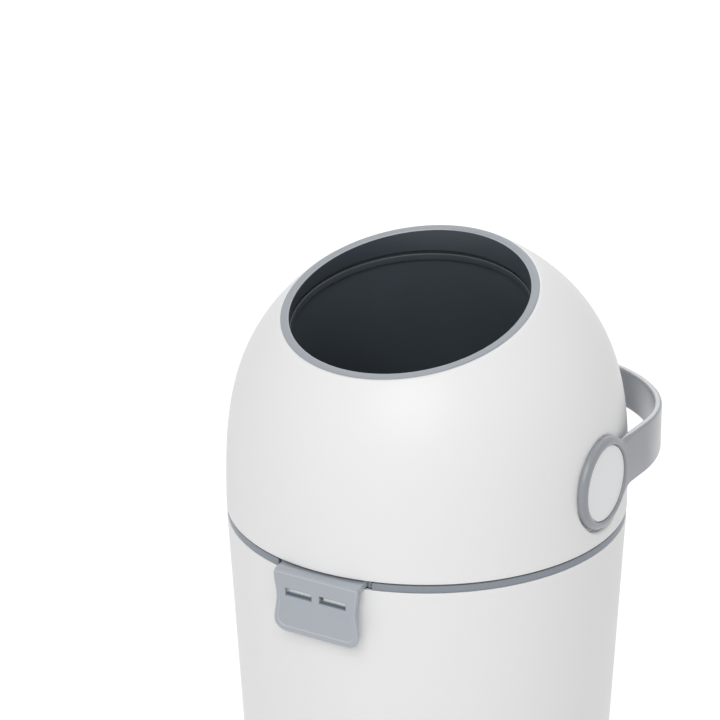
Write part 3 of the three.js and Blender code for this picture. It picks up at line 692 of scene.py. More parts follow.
@dataclass(frozen=True)
class MouldedPlastic:
    """Moulded plastic with a fine eroded grain, faint flow marks and the scuffs of use.

    Args:
        name: The finish's name.
        colour: Its colour in linear light.
        roughness: How matte it is.
        grain: Height of the grain in millimetres.
        scuff: How much the scuffs change the gloss.
        flow: How much the colour varies.
        coat: How much clear gloss lies on it.
        flow_marks: Where the melt's flow shows.
        grains: The fine eroded grain.
        rubs: Where hands have rubbed it.
        scratches: Fine upright scratches, seen where it is rubbed.
        worn_shares: How far a worn place goes to a darker colour, and that colour's share of the light.
        soil_shares: The same for a soiled place.
        soil_top: Height over the floor in metres at which the soil ends.
        grain_gloss: How much the grain changes the gloss.
        grain_strength: How strong the grain looks.
        coat_roughness: How matte the clear gloss is.
    """

    name: str
    colour: Colour
    roughness: float
    grain: float = 0.012
    scuff: float = 0.08
    flow: float = 0.03
    coat: float = 0.0
    flow_marks: Noise = Noise(9.0, 3.0, 0.3, 0.7, (1.0, 1.0, 0.35))
    grains: Noise = Noise(2600.0, 1.5, 0.3, 0.7)
    rubs: Noise = Noise(34.0, 6.0, 0.52, 0.72)
    scratches: Noise = Noise(420.0, 3.0, 0.66, 0.76, (1.0, 1.0, 0.06))
    worn_shares: Pair = (0.25, 0.82)
    soil_shares: Pair = (0.3, 0.7)
    soil_top: float = 0.05
    grain_gloss: float = 0.015
    grain_strength: float = 0.35
    coat_roughness: float = 0.25

    def tinted(self, sheet: NodeSheet, rubbed: Socket, worn: Socket) -> Socket:
        """The colour with its flow marks, its wear and the soil near the floor.

        Args:
            sheet: The material's nodes.
            rubbed: How rubbed a place is.
            worn: How scratched a rubbed place is.

        Returns:
            The colour.
        """
        height = sheet.add("ShaderNodeSeparateXYZ", {"Vector": sheet.place}).outputs["Z"]
        soil = sheet.product(sheet.spread(height, self.soil_top, 0.0), rubbed)
        darker, lighter = shade(self.colour, 1 - self.flow), shade(self.colour, 1 + self.flow)
        colour = sheet.mix(sheet.spots(self.flow_marks), darker, lighter)
        for place, (most, left) in ((worn, self.worn_shares), (soil, self.soil_shares)):
            colour = sheet.mix(sheet.spread(place, 0.0, 1.0, (0.0, most)), colour, shade(self.colour, left))
        return colour

    def material(self) -> bpy.types.Material:
        """Builds the material.

        Returns:
            The material.
        """
        sheet = NodeSheet(self.name)
        rubbed = sheet.spots(self.rubs)
        worn = sheet.product(rubbed, sheet.spots(self.scratches))
        grain = sheet.plain(self.grains)
        speckles = (-self.grain_gloss, self.grain_gloss)
        speckle = sheet.spread(grain, self.grains.low, self.grains.high, speckles)
        gloss = sheet.spread(rubbed, 0.0, 1.0, (self.roughness, self.roughness + self.scuff))
        rough = sheet.sum(sheet.sum(gloss, speckle), sheet.spread(worn, 0.0, 1.0, (0.0, self.scuff)))
        return sheet.surface(grain, self.grain_strength, self.grain, {
            "Base Color": self.tinted(sheet, rubbed, worn),
            "Roughness": rough,
            "Coat Weight": self.coat,
            "Coat Roughness": self.coat_roughness,
        })


@dataclass(frozen=True)
class FineSkin:
    """Rubber or metal with a fine relief, and spots in which its colour and gloss differ.

    Args:
        name: The finish's name.
        colour: Its colour in linear light.
        roughness: How matte it is.
        relief: Pores, sand or drawn lines.
        strength: How strong the relief looks.
        depth: The relief's depth in millimetres.
        spots: Where it is bloomed, stained or dull.
        spot_share: How much light a spot leaves, over 1 for a pale bloom.
        spot_gloss: How much matter a spot is.
        relief_gloss: How much the relief changes the gloss.
        metal: How much of it looks like bare metal.
        sheen: How much it shines at a flat angle.
    """

    name: str
    colour: Colour
    roughness: float
    relief: Noise
    strength: float
    depth: float
    spots: Noise
    spot_share: float
    spot_gloss: float = 0.0
    relief_gloss: float = 0.0
    metal: float = 0.0
    sheen: float = 0.0

    def material(self) -> bpy.types.Material:
        """Builds the material.

        Returns:
            The material.
        """
        sheet = NodeSheet(self.name)
        relief = sheet.plain(self.relief)
        spots = sheet.spots(self.spots)
        spotted = sheet.spread(spots, 0.0, 1.0, (self.roughness, self.roughness + self.spot_gloss))
        lines = (-self.relief_gloss, self.relief_gloss)
        rough = sheet.sum(spotted, sheet.spread(relief, self.relief.low, self.relief.high, lines))
        return sheet.surface(relief, self.strength, self.depth, {
            "Base Color": sheet.mix(spots, self.colour, shade(self.colour, self.spot_share)),
            "Metallic": self.metal,
            "Roughness": rough,
            "Sheen Weight": self.sheen,
        })


class FinishRack:
    """The finishes of the bin, each made once."""

    def __init__(self) -> None:
        """Makes the materials."""
        rack = (
            MouldedPlastic(
                "white_shell", linear(243, 243, 243), 0.42, grain=0.006, flow=0.006, scuff=0.05, coat=0.05
            ),
            MouldedPlastic("white_cap", linear(246, 247, 248), 0.3, grain=0.003, flow=0.008, scuff=0.05),
            MouldedPlastic("handle_grey", linear(145, 149, 155), 0.3, flow=0.03, coat=0.5),
            MouldedPlastic("band_grey", linear(140, 147, 156), 0.42, flow=0.03),
            MouldedPlastic("rim_grey", linear(160, 166, 173), 0.4, flow=0.03),
            MouldedPlastic("latch_grey", linear(173, 179, 187), 0.3, flow=0.02, coat=0.4),
            # Painted shade: a dark blue-grey put on the floors of the latch's slot pockets.
            MouldedPlastic("slot_grey", linear(92, 106, 115), 0.5, flow=0.03),
            # Painted highlight: a pale grey put on the mouth rim's inner edge and the latch's edges that
            # face the light.
            MouldedPlastic("edge_pale", linear(190, 194, 199), 0.35, flow=0.02),
            # The piston's dark grey plastic, darkened further as painted shade deep in the tube.
            MouldedPlastic("piston_dark", linear(36, 41, 46), 0.5, flow=0.05, scuff=0.12),
            # Painted shade: a dark grey put on the throat under the mouth rim's inner edge.
            MouldedPlastic("throat_dark", linear(62, 70, 77), 0.42, flow=0.04),
            MouldedPlastic("drum_grey", linear(72, 80, 87), 0.45, flow=0.05, scuff=0.12),
            MouldedPlastic("bush_dark", linear(60, 62, 65), 0.5, flow=0.06),
            FineSkin(
                "rubber_dark", linear(52, 54, 57), 0.68,
                relief=Noise(1500.0, 3.0), strength=0.5, depth=0.03,
                spots=Noise(60.0, 5.0, 0.42, 0.7), spot_share=1.6, spot_gloss=0.2, sheen=0.08,
            ),
            FineSkin(
                "steel_plated", linear(186, 188, 192), 0.28,
                relief=Noise(1800.0, 3.0, stretch=(0.05, 1.0, 1.0)), strength=0.4, depth=0.01,
                spots=Noise(240.0, 4.0, 0.5, 0.7), spot_share=0.72, spot_gloss=0.2,
                relief_gloss=0.04, metal=1.0,
            ),
            FineSkin(
                "iron_cast", linear(98, 101, 104), 0.625,
                relief=Noise(900.0, 5.0), strength=0.8, depth=0.15,
                spots=Noise(50.0, 4.0, 0.4, 0.7), spot_share=0.6, relief_gloss=0.125, metal=0.8,
            ),
        )
        self.materials = {finish.name: finish.material() for finish in rack}

    def dress(self, obj: Piece, name: str, smooth: float | None = SMOOTH_ANGLE) -> None:
        """Puts a finish on a piece.

        Args:
            obj: The piece.
            name: The finish's name.
            smooth: Edges under this many degrees are shaded smooth. None leaves the mesh as it is.
        """
        material = self.materials[name]
        if len(obj.material_slots) == 0:
            obj.data.materials.append(material)
        for slot in obj.material_slots:
            slot.material = material
        if smooth is not None:
            obj.data.shade_smooth()
            obj.data.set_sharp_from_angle(angle=math.radians(smooth))

    def dress_faces(self, obj: Piece, name: str, chosen: Callable[[Vector, Vector], bool]) -> None:
        """Puts another finish on some of a dressed piece's faces.

        Args:
            obj: The piece.
            name: The finish's name.
            chosen: Says for a face's middle in millimetres and its normal whether it gets the finish.
        """
        obj.data.materials.append(self.materials[name])
        for polygon in obj.data.polygons:
            if chosen(polygon.center / MM, polygon.normal):
                polygon.material_index = len(obj.data.materials) - 1


# Repeats


class Recipe(NodeBoard):
    """A Geometry Nodes tree that repeats or sweeps a pattern, with named sizes."""

    def __init__(self, name: str, **kinds: str) -> None:
        """Starts the tree with its inputs.

        Args:
            name: The tree's name.
            **kinds: The type of each input's socket.
        """
        super().__init__(bpy.data.node_groups.new(name, "GeometryNodeTree"))
        self.keys: dict[str, str] = {}
        for label, kind in {**kinds, "Pattern": "Object", "Finish": "Material"}.items():
            kind = f"NodeSocket{kind}"
            made = self.tree.interface.new_socket(name=label, in_out="INPUT", socket_type=kind)
            self.keys[label] = made.identifier
        self.tree.interface.new_socket(name="Geometry", in_out="OUTPUT", socket_type="NodeSocketGeometry")
        self.given = self.add("NodeGroupInput").outputs
        pattern = self.add("GeometryNodeObjectInfo", {"Object": self.given["Pattern"]})
        self.pattern = pattern.outputs["Geometry"]

    def moved(self, geometry: Socket, inputs: dict[str, Any]) -> Socket:
        """Geometry at another place."""
        return self.add("GeometryNodeTransform", {"Geometry": geometry, **inputs}).outputs["Geometry"]

    def end(self, geometry: Socket) -> None:
        """Ends the tree: real geometry with its finish.

        Args:
            geometry: What the tree has made.
        """
        real = self.add("GeometryNodeRealizeInstances", {"Geometry": geometry}).outputs["Geometry"]
        inputs = {"Geometry": real, "Material": self.given["Finish"]}
        dressed = self.add("GeometryNodeSetMaterial", inputs).outputs["Geometry"]
        self.add("NodeGroupOutput", {0: dressed})

    def end_with_copies(self, points: Socket) -> None:
        """Ends the tree with a copy of the pattern on each point."""
        inputs = {"Points": points, "Instance": self.pattern}
        self.end(self.add("GeometryNodeInstanceOnPoints", inputs).outputs["Instances"])

    def make(self, name: str, pattern: Piece, **values: Any) -> Piece:
        """Makes a piece from the tree.

        Args:
            name: The piece's name.
            pattern: What the tree repeats or sweeps. It is removed afterwards.
            **values: A value for each other input of the tree.

        Returns:
            The piece as a plain mesh.
        """
        obj = new_object(name, bpy.data.meshes.new(name))
        modifier = obj.modifiers.new("recipe", "NODES")
        modifier.node_group = self.tree
        for label, value in {**values, "Pattern": pattern}.items():
            modifier[self.keys[label]] = value
        settle(obj)
        tidy_mesh(obj)
        bpy.data.objects.remove(pattern)
        return obj


class SweptRing(Recipe):
    """A closed profile swept round a circle, with a notch cut out of it at the front."""

    def __init__(self) -> None:
        """Builds the tree."""
        sizes = {"Radius": "Float", "Steps": "Int", "Middle": "Vector"}
        super().__init__("swept_ring", **sizes, NotchSize="Vector", NotchMiddle="Vector")
        given = self.given
        round_sizes = {"Resolution": given["Steps"], "Radius": given["Radius"]}
        circle = self.add("GeometryNodeCurvePrimitiveCircle", round_sizes).outputs["Curve"]
        sweep = {"Curve": circle, "Profile Curve": self.pattern, "Fill Caps": False}
        swept = self.add("GeometryNodeCurveToMesh", sweep).outputs["Mesh"]
        cube = self.add("GeometryNodeMeshCube", {"Size": given["NotchSize"]}).outputs["Mesh"]
        notch = self.moved(cube, {"Translation": given["NotchMiddle"]})
        both = {"Mesh 1": swept, "Mesh 2": notch}
        cut = self.add("GeometryNodeMeshBoolean", both, operation="DIFFERENCE", solver="EXACT")
        self.end(self.moved(cut.outputs["Mesh"], {"Translation": given["Middle"]}))


class SetOnRow(Recipe):
    """Copies of one small piece along a straight row."""

    def __init__(self) -> None:
        """Builds the tree."""
        super().__init__("set_on_row", Count="Int", First="Vector", Step="Vector")
        given = self.given
        inputs = {"Count": given["Count"], "Start Location": given["First"], "Offset": given["Step"]}
        self.end_with_copies(self.add("GeometryNodeMeshLine", inputs).outputs["Mesh"])


class SetOnCircle(Recipe):
    """Copies of one small piece round a circle."""

    def __init__(self) -> None:
        """Builds the tree."""
        super().__init__("set_on_circle", Count="Int", Radius="Float", Middle="Vector", Turn="Vector")
        given = self.given
        inputs = {"Vertices": given["Count"], "Radius": given["Radius"]}
        circle = self.add("GeometryNodeMeshCircle", inputs).outputs["Mesh"]
        place = {"Translation": given["Middle"], "Rotation": given["Turn"]}
        self.end_with_copies(self.moved(circle, place))


# Places and the bench that the sub-assemblies are built on


@dataclass(frozen=True)
class Places:
    """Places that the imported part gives, in millimetres.

    Args:
        seam: Middle of the seam between the body and the dome.
        pivot: Middle of the drum's turning axis.
        tube_tilt: How far the tube leans forward, in radians.
    """

    seam: Vector
    pivot: Vector
    tube_tilt: float

    @classmethod
    def read(cls, frame: dict[str, Any]) -> Places:
        """Reads the places from the frame's joints.


        Returns:
            The places.
        """
        joints = {joint["name"]: joint for joint in frame["joints"]}
        pivot = Vector(joints["drum_flip"]["pos_m"]) / MM
        hinge = Vector(joints["lid_hinge"]["pos_m"]) / MM
        slide = joints["piston_slide"]["axis"]
        return cls(Vector((0, pivot.y, hinge.z)), pivot, math.atan2(-slide[1], slide[2]))

    def from_seam(self) -> Matrix:
        """The move from the seam's frame to the row frame."""
        return Matrix.Translation(self.seam)

    def from_drum(self) -> Matrix:
        """The move from the tube's frame to the row frame."""
        return Matrix.Translation(self.pivot) @ Matrix.Rotation(self.tube_tilt, 4, "X")


@dataclass
class Bench:
    """What every sub-assembly needs to build and dress its pieces.

    Args:
        places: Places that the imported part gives.
        rack: The finishes.
    """

    frame: dict[str, Any]
    places: Places
    rack: FinishRack

    def fit(
        self,
        obj: Piece,
        finish: str,
        body: CadBody,
        slot: Slot,
        nodes: Sequence[str] = (),
        smooth: float | None = SMOOTH_ANGLE,
    ) -> None:
        """Dresses a new piece and puts it on its body.

        Args:
            obj: The piece.
            finish: Name of its finish.
            body: The body that it rides on.
            slot: The record's material slot, not used.
            nodes: The CAD nodes that it stands for.
            smooth: Edges under this many degrees are shaded smooth.
        """
        self.rack.dress(obj, finish, smooth)
        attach(obj, body.value)
        if nodes:
            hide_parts(*nodes)
        faces = len(obj.data.polygons)
        LOG.info("%s on %s, %d faces, stands for %s", obj.name, body.value, faces, list(nodes))

    def keep(self, finish: str, *names: str) -> None:
        """Dresses CAD nodes that stay as they are.

        Args:
            finish: Name of their finish.
            *names: The nodes.
        """
        for name in names:
            self.rack.dress(self.frame["nodes"][name], finish, None)
            LOG.info("%s stays, with finish %s", name, finish)

    def refine(self, names: Sequence[str], finish: str, body: CadBody, slot: Slot, width: float) -> None:
        """Replaces CAD nodes by copies with rounded edges.

        Args:
            names: The nodes.
            finish: Name of their finish.
            body: The body that they ride on.
            slot: The record's material slot.
            width: Width of the rounding in millimetres.
        """
        for name in names:
            copy = softened_copy(self.frame["nodes"][name], f"{name}_moulded", width)
            self.fit(copy, finish, body, slot, [name])


# Sub-assemblies


@dataclass
class BinBody:
    """The tapered body on its four feet, with the teeth that the latch catches."""

    bench: Bench
    top_radius: float = 139.7
    top_drop: float = 6.6
    draft: float = 15.0
    wall: float = 3.0
    floor: float = 4.0
    corner: float = 9.0
    rim_round: float = 0.7
    stand: float = 3.0
    feet: int = 4
    foot_radius: float = 11.0
    foot_circle: float = 92.0
    foot_depth: float = 2.0
    foot_taper: float = 2.0
    foot_bevel: float = 1.6
    foot_rounds: Triple = (0.6, 0.8, 0.3)
    tooth_top: float = 15.3
    tooth_from: float = 4.5
    tooth_to: float = 22.3
    tooth_tip: float = 142.7
    tooth_height: float = 3.6
    tooth_rounds: Pair = (0.6, 0.9)
    tooth_edge: Edge = Edge(0.4, 0.4)

    def shell(self) -> Piece:
        """Builds the shell with its pockets and teeth.

        Returns:
            The shell, in the row frame.
        """
        seam = self.bench.places.seam
        top = seam.z - self.top_drop
        bottom = self.top_radius - self.draft
        inner_top = self.top_radius - self.wall
        profile = outline([
            (0, self.stand, 0),
            (bottom, self.stand, self.corner),
            (self.top_radius, top, self.rim_round),
            (inner_top, top, self.rim_round),
            (bottom - self.wall, self.stand + self.floor, self.corner - self.floor / 2),
            (0, self.stand + self.floor, 0),
        ], segments=10)
        obj = turned(profile).moved(Matrix.Translation((0, seam.y, 0))).made("body_moulded")
        tools = [(Cut.AWAY, self.pocket(number)) for number in range(self.feet)]
        tools += [(Cut.JOIN, self.tooth(side)) for side in (-1, 1)]
        return work(obj, tools)

    def pocket(self, number: int) -> Blank:
        """A foot's pocket in the body's floor.

        Args:
            number: The foot's number.

        Returns:
            The cutter, in the row frame.
        """
        angle = math.radians(360 / self.feet * (number + 0.5))
        across = Vector((math.cos(angle), math.sin(angle), 0)) * self.foot_circle
        middle = across + Vector((0, self.bench.places.seam.y, 0))
        top = self.stand + self.foot_depth
        return rod(self.foot_radius + SEAT, middle, middle + Vector((0, 0, top)))

    def tooth(self, side: int) -> Blank:
        """One of the two teeth behind the latch's slots, on one side of the middle.

        Args:
            side: -1 for the left one, 1 for the right.

        Returns:
            The tooth, in the row frame.
        """
        root = self.top_radius - self.wall / 2
        low = -self.tooth_top - self.tooth_height * 2
        upper_round, lower_round = self.tooth_rounds
        corners = [
            (-root, -self.tooth_top, 0.0),
            (-self.tooth_tip, -self.tooth_top, upper_round),
            (-self.tooth_tip, -self.tooth_top - self.tooth_height, lower_round),
            (-root, low, 0.0),
        ]
        start = self.tooth_from if side > 0 else -self.tooth_to
        ring = rounded([(Vector((start, y, z)), radius) for y, z, radius in corners])
        across = Vector((self.tooth_to - self.tooth_from, 0, 0))
        bar = slab(ring[::-1], across, self.tooth_edge, self.tooth_edge, steps=3)
        return bar.moved(self.bench.places.from_seam())

    def foot(self) -> Piece:
        """One rubber foot, at the row frame's origin.

        Returns:
            The foot.
        """
        top = self.stand + self.foot_depth - SEAT
        sole_round, bevel_round, top_round = self.foot_rounds
        return turned(outline([
            (0, 0, 0),
            (self.foot_radius - self.foot_taper, 0, sole_round),
            (self.foot_radius, self.foot_bevel, bevel_round),
            (self.foot_radius, top, top_round),
            (0, top, 0),
        ]), SMALL_STEPS).made("foot_pattern")

    def build(self) -> None:
        """Builds and dresses the body and its feet."""
        self.bench.fit(self.shell(), "white_shell", CadBody.BASE, Slot.SHELL, ["body_shell"])
        feet = SetOnCircle().make(
            "rubber_feet",
            self.foot(),
            Count=self.feet,
            Radius=self.foot_circle * MM,
            Middle=(0.0, self.bench.places.seam.y * MM, 0.0),
            Turn=(0.0, 0.0, math.pi / self.feet),
            Finish=self.bench.rack.materials["rubber_dark"],
        )
        names = ["foot_rear_right", "foot_rear_left", "foot_front_left", "foot_front_right"]
        self.bench.fit(feet, "rubber_dark", CadBody.BASE, Slot.RUBBER, names)


@dataclass
class BagBand:
    """The grey band ring that clamps the bag on the body's rim."""

    bench: Bench
    radius: float = 139.2
    bottom: float = -6.3
    top: float = -0.3
    inner: float = 128.8
    skirt: float = -26.0
    wall: float = 2.3
    flange: float = 2.4
    groove: float = 1.1
    groove_depth: float = 2.2
    outer_round: float = 0.7
    groove_rounds: Triple = (0.5, 0.2, 0.3)
    inner_round: float = 0.9
    skirt_round: float = 0.8
    notch_half: float = 36.8
    notch_shift: float = 0.6
    notch_depth: float = 24.0
    notch_height: float = 10.6
    notch_bottom: float = -6.6

    def profile(self) -> Piece:
        """The ring's section as a closed curve, out along X and down along Y, from its outer face.

        Returns:
            The curve's object.
        """
        groove_lip, groove_foot, neck = self.groove_rounds
        section = outline([
            (self.radius, self.bottom, self.outer_round),
            (self.radius, self.top - self.groove, groove_lip),
            (self.radius - self.groove_depth, self.top - self.groove, groove_foot),
            (self.radius - self.groove_depth, self.top, neck),
            (self.inner, self.top, self.inner_round),
            (self.inner, self.skirt, self.skirt_round),
            (self.inner + self.wall, self.skirt, self.skirt_round),
            (self.inner + self.wall, self.top - self.flange, self.skirt_round),
            (self.radius - self.wall, self.top - self.flange, self.skirt_round),
            (self.radius - self.wall, self.bottom, self.outer_round),
        ], segments=4)
        curve = bpy.data.curves.new("band_profile", "CURVE")
        line = curve.splines.new("POLY")
        line.points.add(len(section) - 1)
        for point, place in zip(line.points, section, strict=True):
            point.co = ((place.x - self.radius) * MM, -place.z * MM, 0, 1)
        line.use_cyclic_u = True
        return new_object("band_profile", curve)

    def build(self) -> None:
        """Builds and dresses the ring."""
        notch_size = Vector((2 * self.notch_half, self.notch_depth, self.notch_height))
        notch = Vector((self.notch_shift, -self.radius, self.notch_height / 2 + self.notch_bottom))
        ring = SweptRing().make(
            "bag_band",
            self.profile(),
            Radius=self.radius * MM,
            Steps=FINE_STEPS,
            Middle=tuple(self.bench.places.seam * MM),
            NotchSize=tuple(notch_size * MM),
            NotchMiddle=tuple(notch * MM),
            Finish=self.bench.rack.materials["band_grey"],
        )
        self.bench.fit(ring, "band_grey", CadBody.BASE, Slot.TRIM, ["band_ring"])


@dataclass(frozen=True)
class DomeRule:
    """The rule of the dome's surface, from the middle of the seam, with the sizes that its pieces share."""

    wall: float = 2.6
    pivot_rise: float = 43.0
    radius: float = 140.0
    crown: float = 196.471
    round_power: float = 3.38
    crown_power: float = 0.673
    lean_share: float = 0.042
    mouth_forward: float = 23.6
    mouth_rise: float = 155.596
    mouth_tilt: float = math.radians(15.65)
    highest_share: float = 0.999
    mouth_highest_share: float = 0.995
    slope_steps: int = 2000
    halvings: int = 44

    def radius_at(self, height: float) -> float:
        """The dome's radius at a height over the seam."""
        share = min(max(height / self.crown, 0.0), self.highest_share)
        return self.radius * (1 - share**self.round_power) ** self.crown_power

    def lean_at(self, height: float) -> float:
        """How far the dome's middle line leans back at a height."""
        return self.lean_share * height * height / self.radius

    def point(self, angle: float, height: float, depth: float = 0.0) -> Vector:
        """A point on the dome.

        Args:
            angle: Its angle round the middle line.
            height: Its height over the seam, on the outer surface.
            depth: How far it lies under the outer surface.

        Returns:
            The point.
        """
        small = self.crown / self.slope_steps
        below = max(height - small, 0.0)
        slope = (self.radius_at(height + small) - self.radius_at(below)) / (2 * small)
        length = math.hypot(1, slope)
        radius = self.radius_at(height) - depth / length
        up = height + depth * slope / length if height > 0 else 0.0
        return Vector((radius * math.cos(angle), radius * math.sin(angle) + self.lean_at(height), up))

    def mouth_plane(self, y: float, lowered: float) -> float:
        """Height of the mouth's plane at a place, lowered square to the plane."""
        level = self.mouth_rise + (y + self.mouth_forward) * math.tan(self.mouth_tilt)
        return level - lowered / math.cos(self.mouth_tilt)

    def mouth_height(self, angle: float, depth: float, lowered: float) -> float:
        """The height at which the surface meets the mouth's plane.

        Args:
            angle: Angle round the middle line.
            depth: How far under the outer surface.
            lowered: How far under the mouth's plane.

        Returns:
            The height over the seam, on the outer surface.
        """
        low, high = 0.0, self.crown * self.mouth_highest_share
        for _ in range(self.halvings):
            middle = (low + high) / 2
            point = self.point(angle, middle, depth)
            if point.z > self.mouth_plane(point.y, lowered):
                high = middle
            else:
                low = middle
        return (low + high) / 2

    def mouth_edge(self, angle: float, depth: float, lowered: float) -> Vector:
        """A point of the surface under the mouth's plane."""
        return self.point(angle, self.mouth_height(angle, depth, lowered), depth)


@dataclass
class Dome:
    """The white dome with its two sunk side pads."""

    bench: Bench
    rule: DomeRule
    lowered: float = 0.9
    edge: float = 0.6
    edge_steps: int = 3
    pad_face: float = 135.8
    pad_inner: float = 131.8
    boss_radius: float = 36.8
    sink_radius: float = 34.0
    sink_flare: float = 3.4
    sink_steps: int = 8
    bore_radius: float = 16.7
    bore_steps: int = 128
    rings_up: int = 44
    rings_down: int = 20

    def section(self, angle: float) -> list[Vector]:
        """The wall's section at an angle, from the seam up the outside and down the inside.

        Args:
            angle: Angle round the middle line.

        Returns:
            The section's points.
        """
        rule, edge = self.rule, self.edge
        outer_top = rule.mouth_height(angle, 0.0, self.lowered)
        inner_top = rule.mouth_height(angle, rule.wall, self.lowered)
        bends = quarter_turn(self.edge_steps)
        points = []
        for bend in bends:
            point = rule.point(angle, 0.0, edge * (1 - math.sin(bend)))
            points.append(point + Vector((0, 0, edge * (1 - math.cos(bend)))))
        for step in range(1, self.rings_up):
            points.append(rule.point(angle, edge + (outer_top - 2 * edge) * step / self.rings_up))
        for bend in reversed(bends):
            depth, down = edge * (1 - math.sin(bend)), edge * (1 - math.cos(bend))
            points.append(rule.mouth_edge(angle, depth, self.lowered + down))
        for step in range(self.rings_down):
            points.append(rule.point(angle, inner_top * (1 - step / self.rings_down), rule.wall))
        points.append(rule.point(angle, 0.0, rule.wall))
        return points

    def whole(self) -> Blank:
        """The dome as a full body, which trims the bosses inside it.

        Returns:
            The body, from the middle of the seam.
        """
        depth = self.rule.wall / 2
        angles = full_turn(FINE_STEPS)
        tops = [(angle, self.rule.mouth_height(angle, depth, self.lowered)) for angle in angles]
        shares = [step / self.rings_up for step in range(self.rings_up + 1)]
        rings = [[self.rule.point(angle, share * top, depth) for angle, top in tops] for share in shares]
        return lofted(rings, Shape.CAPPED)

    def side_rod(self, side: int, radius: float, inner: float, outer: float) -> Blank:
        """A rod across a side pad, from one distance from the middle to another."""
        start = Vector((side * inner, 0, self.rule.pivot_rise))
        end = Vector((side * outer, 0, self.rule.pivot_rise))
        return rod(radius, start, end, self.bore_steps)

    def boss(self, side: int, whole: Blank) -> Blank:
        """A side pad's boss.

        Args:
            side: -1 for the left one, 1 for the right.
            whole: The dome as a full body, which trims the boss.

        Returns:
            The boss in the row frame.
        """
        plain = self.side_rod(side, self.boss_radius, self.pad_inner, self.rule.radius + OVERRUN)
        obj = work(plain.moved(self.bench.places.from_seam()).made("boss"), [(Cut.KEEP, whole)])
        points = [Vector(vertex.co) / MM for vertex in obj.data.vertices]
        faces = [tuple(polygon.vertices) for polygon in obj.data.polygons]
        bpy.data.objects.remove(obj)
        return Blank(points, faces)

    def sink(self, side: int) -> Blank:
        """The room of a side pad, which widens in a round sweep towards the dome's surface.

        Args:
            side: -1 for the left one, 1 for the right.

        Returns:
            The cutter, from the middle of the seam.
        """
        deep = self.rule.radius - self.pad_face
        sweep = []
        for bend in quarter_turn(self.sink_steps):
            across = self.sink_radius + self.sink_flare * (1 - math.cos(bend))
            sweep.append((across, self.pad_face + deep * math.sin(bend)))
        reach = self.rule.radius + OVERRUN
        rows = [(0.0, self.pad_face), *sweep, (self.sink_radius + self.sink_flare, reach), (0.0, reach)]
        turn = Matrix.Rotation(side * math.pi / 2, 4, "Y")
        profile = [Vector((across, 0, along)) for across, along in rows]
        rise = Matrix.Translation((0, 0, self.rule.pivot_rise))
        return turned(profile, ROUND_STEPS).moved(rise @ turn)

    def build(self) -> None:
        """Builds and dresses the dome."""
        place = self.bench.places.from_seam()
        obj = lofted_round(self.section).moved(place).made("dome_moulded")
        whole = self.whole().moved(place)
        tools = []
        for side in (-1, 1):
            bore = self.side_rod(side, self.bore_radius, self.pad_inner - OVERRUN, self.rule.radius)
            tools.append((Cut.JOIN, self.boss(side, whole)))
            tools.append((Cut.AWAY, self.sink(side).moved(place)))
            tools.append((Cut.AWAY, bore.moved(place)))
        self.bench.fit(work(obj, tools), "white_shell", CadBody.LID, Slot.SHELL, ["dome_shell"])


